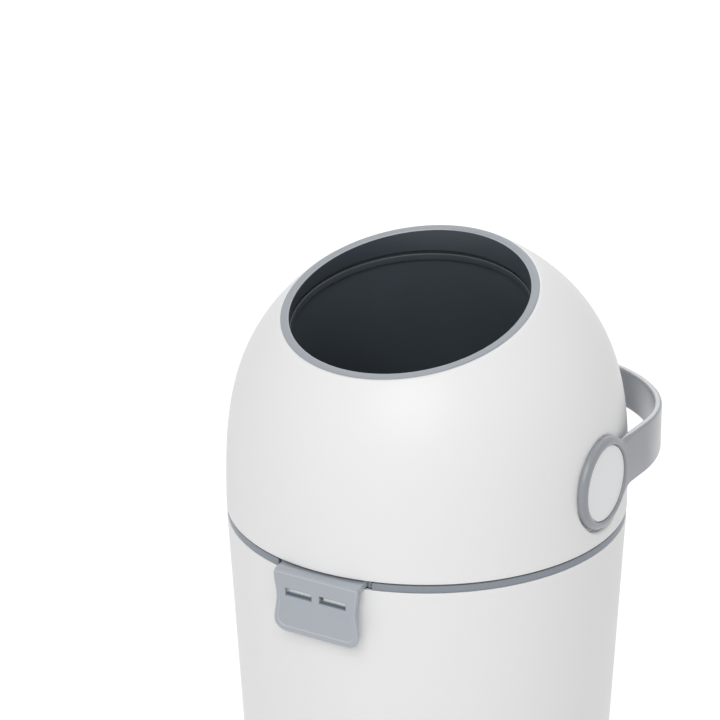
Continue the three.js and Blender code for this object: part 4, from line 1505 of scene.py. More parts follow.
@dataclass
class Mouth:
    """The grey rim of the mouth, the throat under it and the seal that wipes the drum."""

    bench: Bench
    rule: DomeRule
    drum: Drum
    face: float = 5.2
    lip: float = 0.6
    throat_wall: float = 1.9
    face_rounds: Pair = (0.4, 0.9)
    lip_round: float = 0.15
    foot_round: float = 0.5
    painted_shade_from: float = 1.1
    edge_facing: float = 0.93

    def section(self, angle: float) -> list[Vector]:
        """The section of rim and throat at an angle.

        Args:
            angle: Angle round the mouth.

        Returns:
            The section's points.
        """
        rule = self.rule
        centre = Vector((0, -rule.mouth_forward, rule.mouth_rise))
        face_outer = rule.mouth_edge(angle, SEAT / 2, 0.0)
        inward = (centre - face_outer).normalized()
        face_inner = face_outer + inward * self.face
        lip_outer = rule.mouth_edge(angle, SEAT / 2, self.lip)
        shoulder = rule.mouth_edge(angle, rule.wall, self.lip) + inward * SEAT
        below = rule.mouth_edge(angle, rule.wall, self.lip + SEAT) + inward * SEAT
        foot_inner = self.over_drum(face_inner, self.drum.stop_inner)
        foot_outer = self.over_drum(face_inner, self.drum.stop_inner + self.throat_wall)
        outer_round, inner_round = self.face_rounds
        return rounded([
            (face_outer, outer_round),
            (face_inner, inner_round),
            (foot_inner, self.foot_round),
            (foot_outer, self.foot_round),
            (below, 0.0),
            (shoulder, 0.0),
            (lip_outer, self.lip_round),
        ])

    def over_drum(self, towards: Vector, radius: float) -> Vector:
        """A point just over the drum, at a radius from the tube's axis.

        Args:
            towards: A point that says on which side of the tube.
            radius: Distance from the tube's axis.

        Returns:
            The point, from the middle of the seam.
        """
        tilt = Matrix.Rotation(self.bench.places.tube_tilt, 3, "X")
        pivot = Vector((0, 0, self.rule.pivot_rise))
        local = tilt.inverted() @ (towards - pivot)
        around = math.atan2(local.y, local.x)
        up = self.drum.height_at(radius, self.drum.radius + RUN)
        return tilt @ Vector((radius * math.cos(around), radius * math.sin(around), up)) + pivot

    def build(self) -> None:
        """Builds and dresses the rim, with a painted highlight on its inner edge and painted shade on the
        throat below. The seal stays as it is.
        """
        place = self.bench.places.from_seam()
        obj = lofted_round(self.section).moved(place).made("mouth_rim_moulded")
        self.bench.fit(obj, "rim_grey", CadBody.LID, Slot.PALE, ["mouth_rim"])
        seam = self.bench.places.seam
        centre = seam + Vector((0, -self.rule.mouth_forward, self.rule.mouth_rise))
        up = Vector((0, -math.sin(self.rule.mouth_tilt), math.cos(self.rule.mouth_tilt)))

        def in_shaded_throat(middle: Vector, _normal: Vector) -> bool:
            """Whether a face lies under the rim's inner edge, in the throat that gets painted shade."""
            return middle.z - seam.z < self.rule.mouth_plane(middle.y - seam.y, self.painted_shade_from)

        def highlight_on_inner_edge(middle: Vector, normal: Vector) -> bool:
            """Whether a face belongs to the round edge between the rim's face and the throat, which gets a
            painted highlight.
            """
            looks_in = normal.dot(up) < self.edge_facing and normal.dot(centre - middle) > 0
            return looks_in and not in_shaded_throat(middle, normal)

        self.bench.rack.dress_faces(obj, "edge_pale", highlight_on_inner_edge)
        self.bench.rack.dress_faces(obj, "throat_dark", in_shaded_throat)
        self.bench.keep("rubber_dark", "throat_seal")


@dataclass
class LidRing:
    """The ring inside the dome's foot, its seal, and the small parts that the lid carries."""

    bench: Bench
    frame_round: float = 0.25
    seal_round: float = 0.5

    def build(self) -> None:
        """Rounds and dresses the ring and the seal, and dresses what stays."""
        self.bench.refine(["lid_frame"], "band_grey", CadBody.LID, Slot.TRIM, self.frame_round)
        self.bench.refine(["lid_seal"], "rubber_dark", CadBody.LID, Slot.RUBBER, self.seal_round)
        self.bench.keep("bush_dark", "trunnion_bush_left", "trunnion_bush_right")
        self.bench.keep("steel_plated", "latch_pin")


@dataclass
class Latch:
    """The folded grey latch plate with its two slots."""

    bench: Bench
    rule: DomeRule
    half_width: float = 33.0
    waist: float = 2.0
    front: float = -146.0
    thick: float = 3.0
    top: float = -2.9
    top_corner: float = 2.4
    drop: float = 48.0
    corner: float = 9.0
    slot_width: float = 20.8
    slot_height: float = 5.5
    slot_gap: float = 6.0
    slot_drop: float = 15.0
    slot_flare: float = 0.5
    pocket: float = 2.3
    window_share: float = 0.64
    dish_from: float = 13.0
    dish_depth: float = 0.6
    dish_slope: float = 1.5
    dish_side: float = 2.7
    dish_foot: float = 4.2
    pin_y: float = -130.8
    pin_z: float = -3.3
    pin_bore: float = 1.4
    barrel: float = 2.7
    neck_top: float = -1.95
    neck_bottom: float = -6.0
    neck_round: float = 4.0
    neck_inset: float = 0.1
    neck_sink: float = 0.12
    neck_overlap: float = 0.6
    cutter_rise: float = 1.0
    fold: Edge = Edge(1.8, 2.3)
    flank: Edge = Edge(1.1, 0.9)
    foot: Edge = Edge(4.4, 1.8, 28.0)
    side: Edge = Edge(0.8, 0.8)
    back: Edge = Edge(0.5, 0.5)
    top_steps: int = 6
    flank_steps: int = 21
    foot_steps: int = 12
    dish_steps: int = 14
    dish_corner_steps: int = 8
    pin_steps: int = 32
    flat_facing: float = 0.99
    edge_facing: float = 0.82
    edge_lowest: float = -0.15
    floor_reach: float = 0.05

    def half_outline(self) -> list[tuple[float, float, Edge]]:
        """The plate's right half from the top to the bottom: X, Z and the edge at each point.

        Returns:
            A row for each point.
        """
        rows = [(self.half_width / 2, self.top, self.fold)]
        for step in range(self.top_steps + 1):
            share = step / self.top_steps
            angle = math.pi / 2 * (1 - share)
            x = self.half_width - self.top_corner * (1 - math.cos(angle))
            z = self.top - self.top_corner * (1 - math.sin(angle))
            rows.append((x, z, self.fold.towards(self.flank, share)))
        high = self.top - self.top_corner
        low = -self.drop + self.corner
        for step in range(1, self.flank_steps):
            share = step / self.flank_steps
            x = self.half_width - self.waist * math.sin(math.pi * share) ** 2
            rows.append((x, high + (low - high) * share, self.flank))
        for angle in quarter_turn(self.foot_steps):
            x = self.half_width - self.corner + self.corner * math.cos(angle)
            edge = self.flank.towards(self.foot, math.sin(angle) ** 3)
            rows.append((x, low - self.corner * math.sin(angle), edge))
        rows.append((self.half_width / 3, -self.drop, self.foot))
        return rows

    def plate(self) -> Blank:
        """The plate, with a narrow edge at its sides and a wide one at its foot.

        Returns:
            The plate, from the middle of the seam.
        """
        half = self.half_outline()
        rows = [(-x, z, edge) for x, z, edge in half] + half[::-1]
        ring = [Vector((x, self.front, z)) for x, z, _ in rows]
        return slab(ring, Vector((0, self.thick, 0)), [edge for _, _, edge in rows], self.back, steps=7)

    def dish(self) -> Blank:
        """The shallow hollow in the plate's face, which gets deeper towards the foot.

        Returns:
            The cutter, from the middle of the seam.
        """
        low, corner = self.dish_foot - self.drop, self.corner - self.dish_side
        side = []
        high = self.top - self.top_corner
        for step in range(self.dish_steps + 1):
            share = step / self.dish_steps
            z = -self.dish_from + (low + corner + self.dish_from) * share
            along = (z - high) / (self.corner - self.drop - high)
            side.append((self.half_width - self.dish_side - self.waist * math.sin(math.pi * along) ** 2, z))
        edge = side[-1][0]
        for angle in quarter_turn(self.dish_corner_steps)[1:]:
            side.append((edge - corner * (1 - math.cos(angle)), low + corner * (1 - math.sin(angle))))
        rows = [(-x, z) for x, z in side] + side[::-1]
        ring = [Vector((x, self.front, z)) for x, z in rows]
        deep = [self.dish_depth * (z + self.dish_from) / (low + self.dish_from) for _, z in rows]
        ahead = Vector((0, -1, 0))
        wider = inset(ring, ahead, [-self.dish_slope] * len(ring))
        floor = inset(ring, ahead, [depth * self.dish_slope for depth in deep])
        return lofted([
            [point + ahead * self.cutter_rise for point in wider],
            [point + Vector((0, depth, 0)) for point, depth in zip(floor, deep, strict=True)],
        ], Shape.CAPPED)

    def neck(self) -> Blank:
        """The neck from the pin to the fold, which slopes down in front of the dome's edge.

        Returns:
            The neck, from the middle of the seam.
        """
        end = self.front + self.fold.depth - self.neck_overlap
        corners = [
            (self.pin_y, self.neck_bottom, 0.0),
            (self.pin_y, self.neck_top, 0.0),
            (-self.rule.radius, self.neck_top, self.neck_round),
            (end, self.top - self.neck_sink, 0.0),
            (end, self.neck_bottom, 0.0),
        ]
        start = self.neck_inset - self.half_width
        ring = rounded([(Vector((start, y, z)), radius) for y, z, radius in corners], segments=6)
        return slab(ring[::-1], Vector((-2 * start, 0, 0)), self.side, self.side, steps=4)

    def slot(self, start: float, low: float, end: float) -> Blank:
        """A slot's cutter with sharp corners and a flared mouth.

        Args:
            start: X of the slot's left end.
            low: Z of its lower edge.
            end: Depth under the plate's front face at which it ends.

        Returns:
            The cutter.
        """
        rise = self.cutter_rise
        rings = []
        for depth, wider in ((-rise, rise + self.slot_flare), (self.slot_flare, 0.0), (end, 0.0)):
            left, right = start - wider, start + self.slot_width + wider
            under, over = low - wider, wider - self.slot_drop
            corners = ((left, under), (right, under), (right, over), (left, over))
            rings.append([Vector((x, self.front + depth, z)) for x, z in corners])
        return lofted(rings, Shape.CAPPED)

    def build(self) -> None:
        """Builds and dresses the latch."""
        place = self.bench.places.from_seam()
        pin = Vector((self.half_width, self.pin_y, self.pin_z))
        far = Vector((-self.half_width, self.pin_y, self.pin_z))
        over = Vector((OVERRUN, 0, 0)) * 2
        tools = [
            (Cut.JOIN, self.neck().moved(place)),
            (Cut.JOIN, rod(self.barrel, far, pin).moved(place)),
            (Cut.AWAY, self.dish().moved(place)),
        ]
        for start in (-self.slot_gap / 2 - self.slot_width, self.slot_gap / 2):
            low = -self.slot_drop - self.slot_height
            window = -self.slot_drop - self.slot_height * self.window_share
            tools.append((Cut.AWAY, self.slot(start, low, self.pocket).moved(place)))
            tools.append((Cut.AWAY, self.slot(start, window, self.thick + OVERRUN).moved(place)))
        tools.append((Cut.AWAY, rod(self.pin_bore, far - over, pin + over, self.pin_steps).moved(place)))
        obj = work(self.plate().moved(place).made("latch_moulded"), tools)
        self.bench.fit(obj, "latch_grey", CadBody.LATCH, Slot.PALE, ["latch_clip"])
        floor = self.front + self.pocket + self.bench.places.seam.y

        def on_shaded_pocket_floor(middle: Vector, normal: Vector) -> bool:
            """Whether a face is the floor of a slot's pocket, which gets a dark blue-grey as painted shade.
            """
            return normal.y < -self.flat_facing and abs(middle.y - floor) < self.floor_reach

        def highlight_on_soft_edge(_middle: Vector, normal: Vector) -> bool:
            """Whether a face leads from the plate's front into its fold, its flanks or the dish, and so
            gets a painted highlight.
            """
            leans = -self.flat_facing < normal.y < -self.edge_facing
            return leans and normal.z > self.edge_lowest

        # Pale grey on the faces that lean from the front is a painted highlight; dark blue-grey on the
        # pocket floors is painted shade.
        self.bench.rack.dress_faces(obj, "edge_pale", highlight_on_soft_edge)
        self.bench.rack.dress_faces(obj, "slot_grey", on_shaded_pocket_floor)


@dataclass
class Hinge:
    """The rear hinge: a bracket on the body, a leaf on the lid, their pin and screws."""

    bench: Bench
    screw_radius: float = 3.4
    screw_height: float = 1.8
    screw_spread: float = 18.0
    crown_share: float = 0.55
    screw_rounds: Triple = (0.2, 0.6, 0.8)
    cross_half: float = 1.9
    cross_arm: float = 0.35
    cross_depth: float = 0.9
    cross_rise: float = 1.0
    leaf_round: float = 0.35
    pin_round: float = 0.25

    def screw(self, middle: Vector) -> Piece:
        """A pan head screw with a cross recess, its head towards the bin's back.

        Args:
            middle: Middle of the head's seat, in the row frame.

        Returns:
            The screw.
        """
        foot_round, side_round, crown_round = self.screw_rounds
        head = turned(outline([
            (0, 0, 0),
            (self.screw_radius, 0, foot_round),
            (self.screw_radius, self.screw_height * self.crown_share, side_round),
            (self.screw_radius * self.crown_share, self.screw_height, crown_round),
            (0, self.screw_height, 0),
        ]), SMALL_STEPS)
        place = Matrix.Translation(middle) @ Matrix.Rotation(-math.pi / 2, 4, "X")
        low, high = self.screw_height - self.cross_depth, self.screw_height + self.cross_rise
        tools = []
        for x, y in ((self.cross_half, self.cross_arm), (self.cross_arm, self.cross_half)):
            tools.append((Cut.AWAY, brick(Vector((-x, -y, low)), Vector((x, y, high))).moved(place)))
        return work(head.moved(place).made("screw_pattern"), tools)

    def screws(self, name: str, nodes: Sequence[str], body: CadBody) -> None:
        """Sets a leaf's two screws where the CAD has them.

        Args:
            name: Name of the new piece.
            nodes: The CAD nodes of the left and right screw.
            body: The body that they ride on.
        """
        low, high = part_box(nodes[0])
        seat = Vector(((low.x + high.x) / 2, high.y - self.screw_height * MM, (low.z + high.z) / 2)) / MM
        pair = SetOnRow().make(
            name,
            self.screw(Vector((0, seat.y, seat.z))),
            Count=2,
            First=(-self.screw_spread * MM, 0.0, 0.0),
            Step=(2 * self.screw_spread * MM, 0.0, 0.0),
            Finish=self.bench.rack.materials["steel_plated"],
        )
        self.bench.fit(pair, "steel_plated", body, Slot.STEEL, nodes)

    def build(self) -> None:
        """Rounds and dresses the leaves and the pin, and sets the screws."""
        leaves = (("bracket", CadBody.BASE), ("leaf", CadBody.LID))
        for part, body in leaves:
            self.bench.refine([f"hinge_{part}"], "handle_grey", body, Slot.TRIM, self.leaf_round)
        self.bench.refine(["hinge_pin"], "steel_plated", CadBody.BASE, Slot.STEEL, self.pin_round)
        for part, body in leaves:
            nodes = [f"hinge_{part}_screw_{side}" for side in ("left", "right")]
            self.screws(f"{part}_screws", nodes, body)


@dataclass
class Handle:
    """The grey strap with a ring and a white cap at each end, which turns the drum."""

    bench: Bench
    rule: DomeRule
    ring_radius: float = 32.8
    ring_inner: float = 136.25
    ring_outer: float = 141.85
    bevel: float = 3.9
    cap_radius: float = 26.6
    cap_thick: float = 1.4
    cap_inset: float = 1.2
    cap_round: float = 0.7
    collar_wall: float = 1.2
    collar_round: float = 0.2
    recess_rounds: Pair = (1.3, 0.2)
    recess_margin: float = 1.2
    ring_back_round: float = 0.9
    boss_radius: float = 11.9
    boss_rounds: Pair = (0.5, 0.4)
    drum_flat: float = 129.0
    key: float = 15.0
    key_length: float = 11.0
    key_round: float = 1.0
    key_edges: tuple[Edge, Edge] = (Edge(0.4, 0.4), Edge(0.2, 0.2))
    screw_bore: float = 2.3
    counterbore: float = 8.2
    counterbore_round: float = 0.3
    counterbore_floor: float = 131.5
    strap_thick: float = 5.4
    arm_high: float = 23.4
    arm_low: float = 12.8
    grip_high: float = 18.2
    grip_low: float = 10.0
    strap_corner: float = 107.0
    strap_reach: float = 161.565
    strap_edge: float = 1.9
    strap_hair: float = 0.03
    strap_sink: float = 0.25
    strap_hide: float = 3.0
    strap_start_share: float = 0.55
    upper_fillet: float = 11.0
    lower_fillet: float = 15.0
    neck: float = 16.0
    neck_share: float = 0.7
    upper_taper_share: float = 1.5
    lower_taper_share: float = 0.84
    bevel_share: float = 1.25
    front_edge_share: float = 0.7
    back_edge_share: float = 0.28
    straight_steps: int = 40
    bend_steps: int = 56

    @property
    def cap_seat(self) -> float:
        """Where the cap's recess ends, from the bin's middle."""
        return self.ring_outer - self.cap_inset - self.cap_thick - SEAT

    @property
    def strap_outer(self) -> float:
        """Where the strap's outer face lies beside the ring, a hair inside the ring's face."""
        return self.ring_outer - self.strap_hair

    def hub(self) -> Blank:
        """The right hub: ring and boss, turned about X.

        Returns:
            The hub, from the pivot.
        """
        recess = self.cap_radius + SEAT
        boss_end, boss_root = self.boss_rounds
        recess_lip, recess_foot = self.recess_rounds
        profile = outline([
            (self.screw_bore, self.drum_flat + SEAT, 0),
            (self.boss_radius, self.drum_flat + SEAT, boss_end),
            (self.boss_radius, self.ring_inner, boss_root),
            (self.ring_radius, self.ring_inner, self.ring_back_round),
            (self.ring_radius, self.ring_outer, self.bevel),
            (recess, self.ring_outer, recess_lip),
            (recess, self.cap_seat, recess_foot),
            (self.counterbore, self.cap_seat, self.counterbore_round),
            (self.counterbore, self.counterbore_floor, 0),
            (self.screw_bore, self.counterbore_floor, 0),
        ], segments=12)
        return turned(profile, ROUND_STEPS).moved(Matrix.Rotation(math.pi / 2, 4, "Y"))

    def drive_key(self) -> Blank:
        """The square key at the hub's inner end.

        Returns:
            The key, from the pivot.
        """
        half = self.key / 2
        start = self.drum_flat - self.key_length + SEAT
        corners = ((-half, half), (half, half), (half, -half), (-half, -half))
        ring = rounded([(Vector((start, y, z)), self.key_round) for y, z in corners])
        return slab(ring, Vector((self.key_length + SEAT, 0, 0)), *self.key_edges, steps=3)

    def eased(self, y: float, start: float, end: float, first: float, last: float) -> float:
        """A value that goes smoothly from one to another between two distances behind the pivot."""
        share = min(max((y - start) / (end - start), 0.0), 1.0)
        return first + (last - first) * share * share * (3 - 2 * share)

    def strap_edge_at(self, y: float, line: float, fillet: float) -> float:
        """The strap's edge at a distance behind the pivot: the ring's circle, a fillet, then straight.

        Args:
            y: Distance behind the pivot.
            line: How far the straight edge lies from the pivot's level.
            fillet: Radius of the fillet between the ring and the straight edge.

        Returns:
            How far the edge lies from the pivot's level.
        """
        circle = self.ring_radius - self.strap_sink
        middle = math.sqrt((circle + fillet) ** 2 - (line + fillet) ** 2)
        touch = middle * circle / (circle + fillet)
        if y < touch:
            return math.sqrt(circle**2 - y**2) - min((touch - y) / 2, self.strap_hide)
        return line + fillet - math.sqrt(fillet**2 - min(y - middle, 0.0) ** 2)

    def strap_section(self, x: float, y: float, angle: float) -> list[Vector]:
        """The strap's rounded section at a place on its route, which near the ring keeps clear of the dome.

        Args:
            x: Place of the strap's outer face.
            y: Distance behind the pivot.
            angle: Direction in which the outer face looks.

        Returns:
            The section's points.
        """
        high_from = self.ring_radius * self.upper_taper_share
        low_from = self.strap_corner * self.lower_taper_share
        top = self.eased(y, high_from, self.strap_reach, self.arm_high, self.grip_high)
        bottom = self.eased(y, low_from, self.strap_reach, self.arm_low, self.grip_low)
        high = self.strap_edge_at(y, top, self.upper_fillet)
        low = -self.strap_edge_at(y, bottom, self.lower_fillet)
        dome_side = math.sqrt(max(self.rule.radius**2 - y**2, 0.0))
        deep = min(self.strap_thick, self.strap_outer - dome_side - SEAT)
        neck_from = self.ring_radius * self.neck_share
        near = self.eased(y, neck_from, neck_from + self.neck, 0.0, 1.0)
        plain = Edge(self.strap_edge, self.strap_edge)
        bevel = Edge(self.bevel * self.bevel_share, min(self.bevel, deep * self.front_edge_share))
        back = Edge(self.strap_edge, min(self.strap_edge, deep * self.back_edge_share))
        side = [(down, reach) for reach, down in bevel.towards(plain, near).steps(6)]
        side += [(deep - down, reach) for reach, down in reversed(back.steps(5))]
        ring = [(depth, high - reach) for depth, reach in side]
        ring += [(depth, low + reach) for depth, reach in reversed(side)]
        across = Vector((math.cos(angle), math.sin(angle), 0))
        return [Vector((x, y, z)) - across * depth for depth, z in ring]

    def strap(self) -> Blank:
        """The strap from ring to ring round the back, level at rest.

        Returns:
            The strap, from the pivot.
        """
        outer = self.strap_outer
        start = self.ring_radius * self.strap_start_share
        bend_y = self.strap_reach - self.strap_corner
        bend_x = outer - self.strap_corner
        count = self.straight_steps
        route = [(outer, start + (bend_y - start) * step / count, 0.0) for step in range(count)]
        for angle in quarter_turn(self.bend_steps):
            x = bend_x + self.strap_corner * math.cos(angle)
            route.append((x, bend_y + self.strap_corner * math.sin(angle), angle))
        route += [(-x, y, math.pi - angle) for x, y, angle in reversed(route)]
        return lofted([self.strap_section(x, y, angle) for x, y, angle in route], Shape.CAPPED)

    def recess(self, side: int) -> Blank:
        """Room for the cap, which keeps the strap out of the ring's middle."""
        start = Vector((side * self.cap_seat, 0, 0))
        end = Vector((side * (self.ring_outer + OVERRUN), 0, 0))
        return rod(self.cap_radius + SEAT + self.recess_margin, start, end, ROUND_STEPS)

    def cap(self, side: int) -> Blank:
        """The white cap of one side, with a short collar behind it.

        Args:
            side: -1 for the left one, 1 for the right.

        Returns:
            The cap, from the pivot.
        """
        inner = self.cap_seat + SEAT
        collar = self.counterbore - SEAT
        outer = inner + self.cap_thick
        profile = outline([
            (0, inner, 0),
            (collar - self.collar_wall, inner, 0),
            (collar - self.collar_wall, inner - self.cap_thick, self.collar_round),
            (collar, inner - self.cap_thick, self.collar_round),
            (collar, inner, 0),
            (self.cap_radius, inner, self.collar_round),
            (self.cap_radius, outer, self.cap_round),
            (0, outer, 0),
        ], segments=6)
        return turned(profile, ROUND_STEPS).moved(Matrix.Rotation(side * math.pi / 2, 4, "Y"))

    def build(self) -> None:
        """Builds and dresses the handle and its caps."""
        places = self.bench.places
        drum = places.from_drum()
        level = Matrix.Translation(places.pivot)
        half_turn = Matrix.Rotation(math.pi, 4, "Z")
        tools = [(Cut.AWAY, self.recess(side).moved(level)) for side in (-1, 1)]
        for turn in (Matrix.Identity(4), half_turn):
            tools.append((Cut.JOIN, self.hub().moved(drum @ turn)))
            tools.append((Cut.JOIN, self.drive_key().moved(drum @ turn)))
        obj = work(self.strap().moved(level).made("handle_moulded"), tools)
        self.bench.fit(obj, "handle_grey", CadBody.DRUM, Slot.TRIM, ["handle"])
        for side, word in ((-1, "left"), (1, "right")):
            cap = self.cap(side).moved(drum).made(f"cap_disc_{word}")
            self.bench.fit(cap, "white_cap", CadBody.DRUM, Slot.SHELL, [f"handle_cap_{word}"])
            self.bench.keep("steel_plated", f"handle_washer_{word}", f"handle_screw_{word}")


@dataclass
class Drum:
    """The drum that turns in the dome: its tube, end lips, round cheeks and trunnions."""

    bench: Bench
    radius: float = 132.4
    wall: float = 2.6
    tube_inner: float = 84.0
    tube_outer: float = 86.5
    stop_inner: float = 82.2
    stop_length: float = 6.5
    tube_round: float = 0.4
    stop_rounds: Triple = (0.8, 0.3, 0.9)
    cheek_half: float = 126.3
    ball_steps: int = 24
    cheek_steps: int = 192
    trunnion_round: float = 0.4

    def height_at(self, radius: float, sphere: float | None = None) -> float:
        """Height over the pivot at which a radius meets a ball round the pivot."""
        return math.sqrt((sphere or self.radius) ** 2 - radius**2)

    def tube(self) -> Blank:
        """The smooth inner tube.

        Returns:
            The tube, in its own frame.
        """
        end = self.height_at(self.stop_inner) - self.stop_length - SEAT
        return turned(outline([
            (self.tube_inner, -end, self.tube_round),
            (self.tube_outer, -end, self.tube_round),
            (self.tube_outer, end, self.tube_round),
            (self.tube_inner, end, self.tube_round),
        ]))

    def stop(self) -> Blank:
        """The lip ring at the tube's upper end.

        Returns:
            The ring, in the tube's frame.
        """
        top = self.height_at(self.stop_inner)
        foot_round, outer_round, lip_round = self.stop_rounds
        return turned(outline([
            (self.stop_inner, top - self.stop_length, foot_round),
            (self.tube_outer, top - self.stop_length, outer_round),
            (self.tube_outer, self.height_at(self.tube_outer), outer_round),
            (self.stop_inner, top, lip_round),
        ]))

    def cheek(self, side: int) -> Piece:
        """Half of the drum's round wall.

        Args:
            side: -1 for the half that looks forward, 1 for the half that looks back.

        Returns:
            The piece.
        """
        hole = self.tube_outer + SEAT
        arcs = []
        for ball, order in ((self.radius, 1), (self.radius - self.wall, -1)):
            reach = math.asin(self.height_at(hole, ball) / ball)
            arc = [reach * (step / self.ball_steps - 1) for step in range(2 * self.ball_steps + 1)]
            arcs += [Vector((ball * math.cos(turn), 0, ball * math.sin(turn))) for turn in arc[::order]]
        place = self.bench.places.from_drum()
        name = f"cheek_{'front' if side < 0 else 'rear'}_moulded"
        obj = turned(arcs, self.cheek_steps).moved(place).made(name)
        near, far = side * SEAT / 2, side * (self.radius + OVERRUN)
        low = Vector((-self.cheek_half, min(near, far), -self.radius - OVERRUN))
        high = Vector((self.cheek_half, max(near, far), self.radius + OVERRUN))
        return work(obj, [(Cut.KEEP, brick(low, high).moved(place))])

    def build(self) -> None:
        """Builds and dresses the drum."""
        bench = self.bench
        place = bench.places.from_drum()
        tube = self.tube().moved(place).made("tube_moulded")
        bench.fit(tube, "drum_grey", CadBody.DRUM, Slot.TRIM, ["drum_tube"])
        over = Matrix.Rotation(math.pi, 4, "X")
        for word, turn in (("upper", Matrix.Identity(4)), ("lower", over)):
            obj = self.stop().moved(place @ turn).made(f"lip_{word}_moulded")
            bench.fit(obj, "drum_grey", CadBody.DRUM, Slot.TRIM, [f"tube_stop_{word}"])
        for side, word in ((-1, "front"), (1, "rear")):
            bench.fit(self.cheek(side), "drum_grey", CadBody.DRUM, Slot.TRIM, [f"drum_cheek_{word}"])
        trunnions = ["trunnion_left", "trunnion_right"]
        bench.refine(trunnions, "drum_grey", CadBody.DRUM, Slot.TRIM, self.trunnion_round)


@dataclass
class Piston:
    """The weighted piston that slides through the tube and drops the nappy."""

    bench: Bench
    bottom: float = -96.99
    height: float = 44.0
    radius: float = 83.1
    wall: float = 2.5
    seal_height: float = 4.0
    seal_depth: float = 2.4
    seal_rounds: Pair = (0.3, 0.2)
    weight_radius: float = 46.3
    weight_height: float = 12.0
    rib_share: float = 0.6
    rib_round: float = 0.5
    nose_round: float = 3.0
    floor_round: float = 1.5
    joint_rounds: Pair = (0.4, 0.3)
    cover_round: float = 1.6
    groove_shares: tuple[float, float, float, float] = (0.86, 0.845, 0.82, 0.805)
    groove_rounds: Pair = (0.8, 0.5)
    groove_depth: float = 0.7
    middle_share: float = 0.3
    middle_round: float = 20.0
    middle_drops: Pair = (0.1, 0.9)

    def cup(self) -> Blank:
        """The cup with its seal groove and the ring that holds the weight.

        Returns:
            The cup, in the tube's frame.
        """
        top = self.bottom + self.height - self.wall - SEAT
        inner = self.radius - self.wall - self.seal_depth
        low = self.bottom + self.height / 2 - self.seal_height / 2
        high = low + self.seal_height
        floor = self.bottom + self.wall
        rib, rib_top = self.weight_radius, floor + self.weight_height * self.rib_share
        groove_lip, groove_foot = self.seal_rounds
        rim_round = self.joint_rounds[0]
        return turned(outline([
            (0, self.bottom, 0),
            (self.radius, self.bottom, self.nose_round),
            (self.radius, low, groove_lip),
            (self.radius - self.seal_depth, low, groove_foot),
            (self.radius - self.seal_depth, high, groove_foot),
            (self.radius, high, groove_lip),
            (self.radius, top, rim_round),
            (inner, top, rim_round),
            (inner, floor, self.floor_round),
            (rib + self.wall, floor, self.rib_round),
            (rib + self.wall, rib_top, self.rib_round),
            (rib, rib_top, self.rib_round),
            (rib, floor, 0),
            (0, floor, 0),
        ]))

    def cover(self) -> Blank:
        """The round cover, with a shallow ring groove and a low middle.

        Returns:
            The cover, in the tube's frame.
        """
        top = self.bottom + self.height
        under = top - self.wall
        spigot = self.radius - self.wall - self.seal_depth - SEAT
        spigot_round, edge_round = self.joint_rounds
        lip_round, foot_round = self.groove_rounds
        outer_lip, outer_foot, inner_foot, inner_lip = (self.radius * share for share in self.groove_shares)
        edge_drop, middle_drop = self.middle_drops
        return turned(outline([
            (0, under, 0),
            (spigot - self.wall, under, 0),
            (spigot - self.wall, under - self.wall, spigot_round),
            (spigot, under - self.wall, spigot_round),
            (spigot, under, 0),
            (self.radius, under, edge_round),
            (self.radius, top, self.cover_round),
            (outer_lip, top, lip_round),
            (outer_foot, top - self.groove_depth, foot_round),
            (inner_foot, top - self.groove_depth, foot_round),
            (inner_lip, top, lip_round),
            (self.radius * self.middle_share, top - edge_drop, self.middle_round),
            (0, top - middle_drop, 0),
        ], segments=6))

    def build(self) -> None:
        """Builds and dresses the piston."""
        bench = self.bench
        place = bench.places.from_drum()
        # The cup and the cover get the piston's dark grey, darkened further as painted shade.
        for blank, name, node in (
            (self.cup(), "piston_cup_moulded", "piston_cup"),
            (self.cover(), "piston_cover_moulded", "piston_cover"),
        ):
            bench.fit(blank.moved(place).made(name), "piston_dark", CadBody.PISTON, Slot.TRIM, [node])
        bench.keep("iron_cast", "piston_weight")
        bench.keep("rubber_dark", "piston_seal")


# Camera and studio


def way_out(azimuth: float, elevation: float) -> Vector:
    """The way from the bin to a place, by its degrees to the right of the front and above level."""
    turn, lift = math.radians(azimuth), math.radians(elevation)
    return Vector((math.sin(turn) * math.cos(lift), -math.cos(turn) * math.cos(lift), math.sin(lift)))


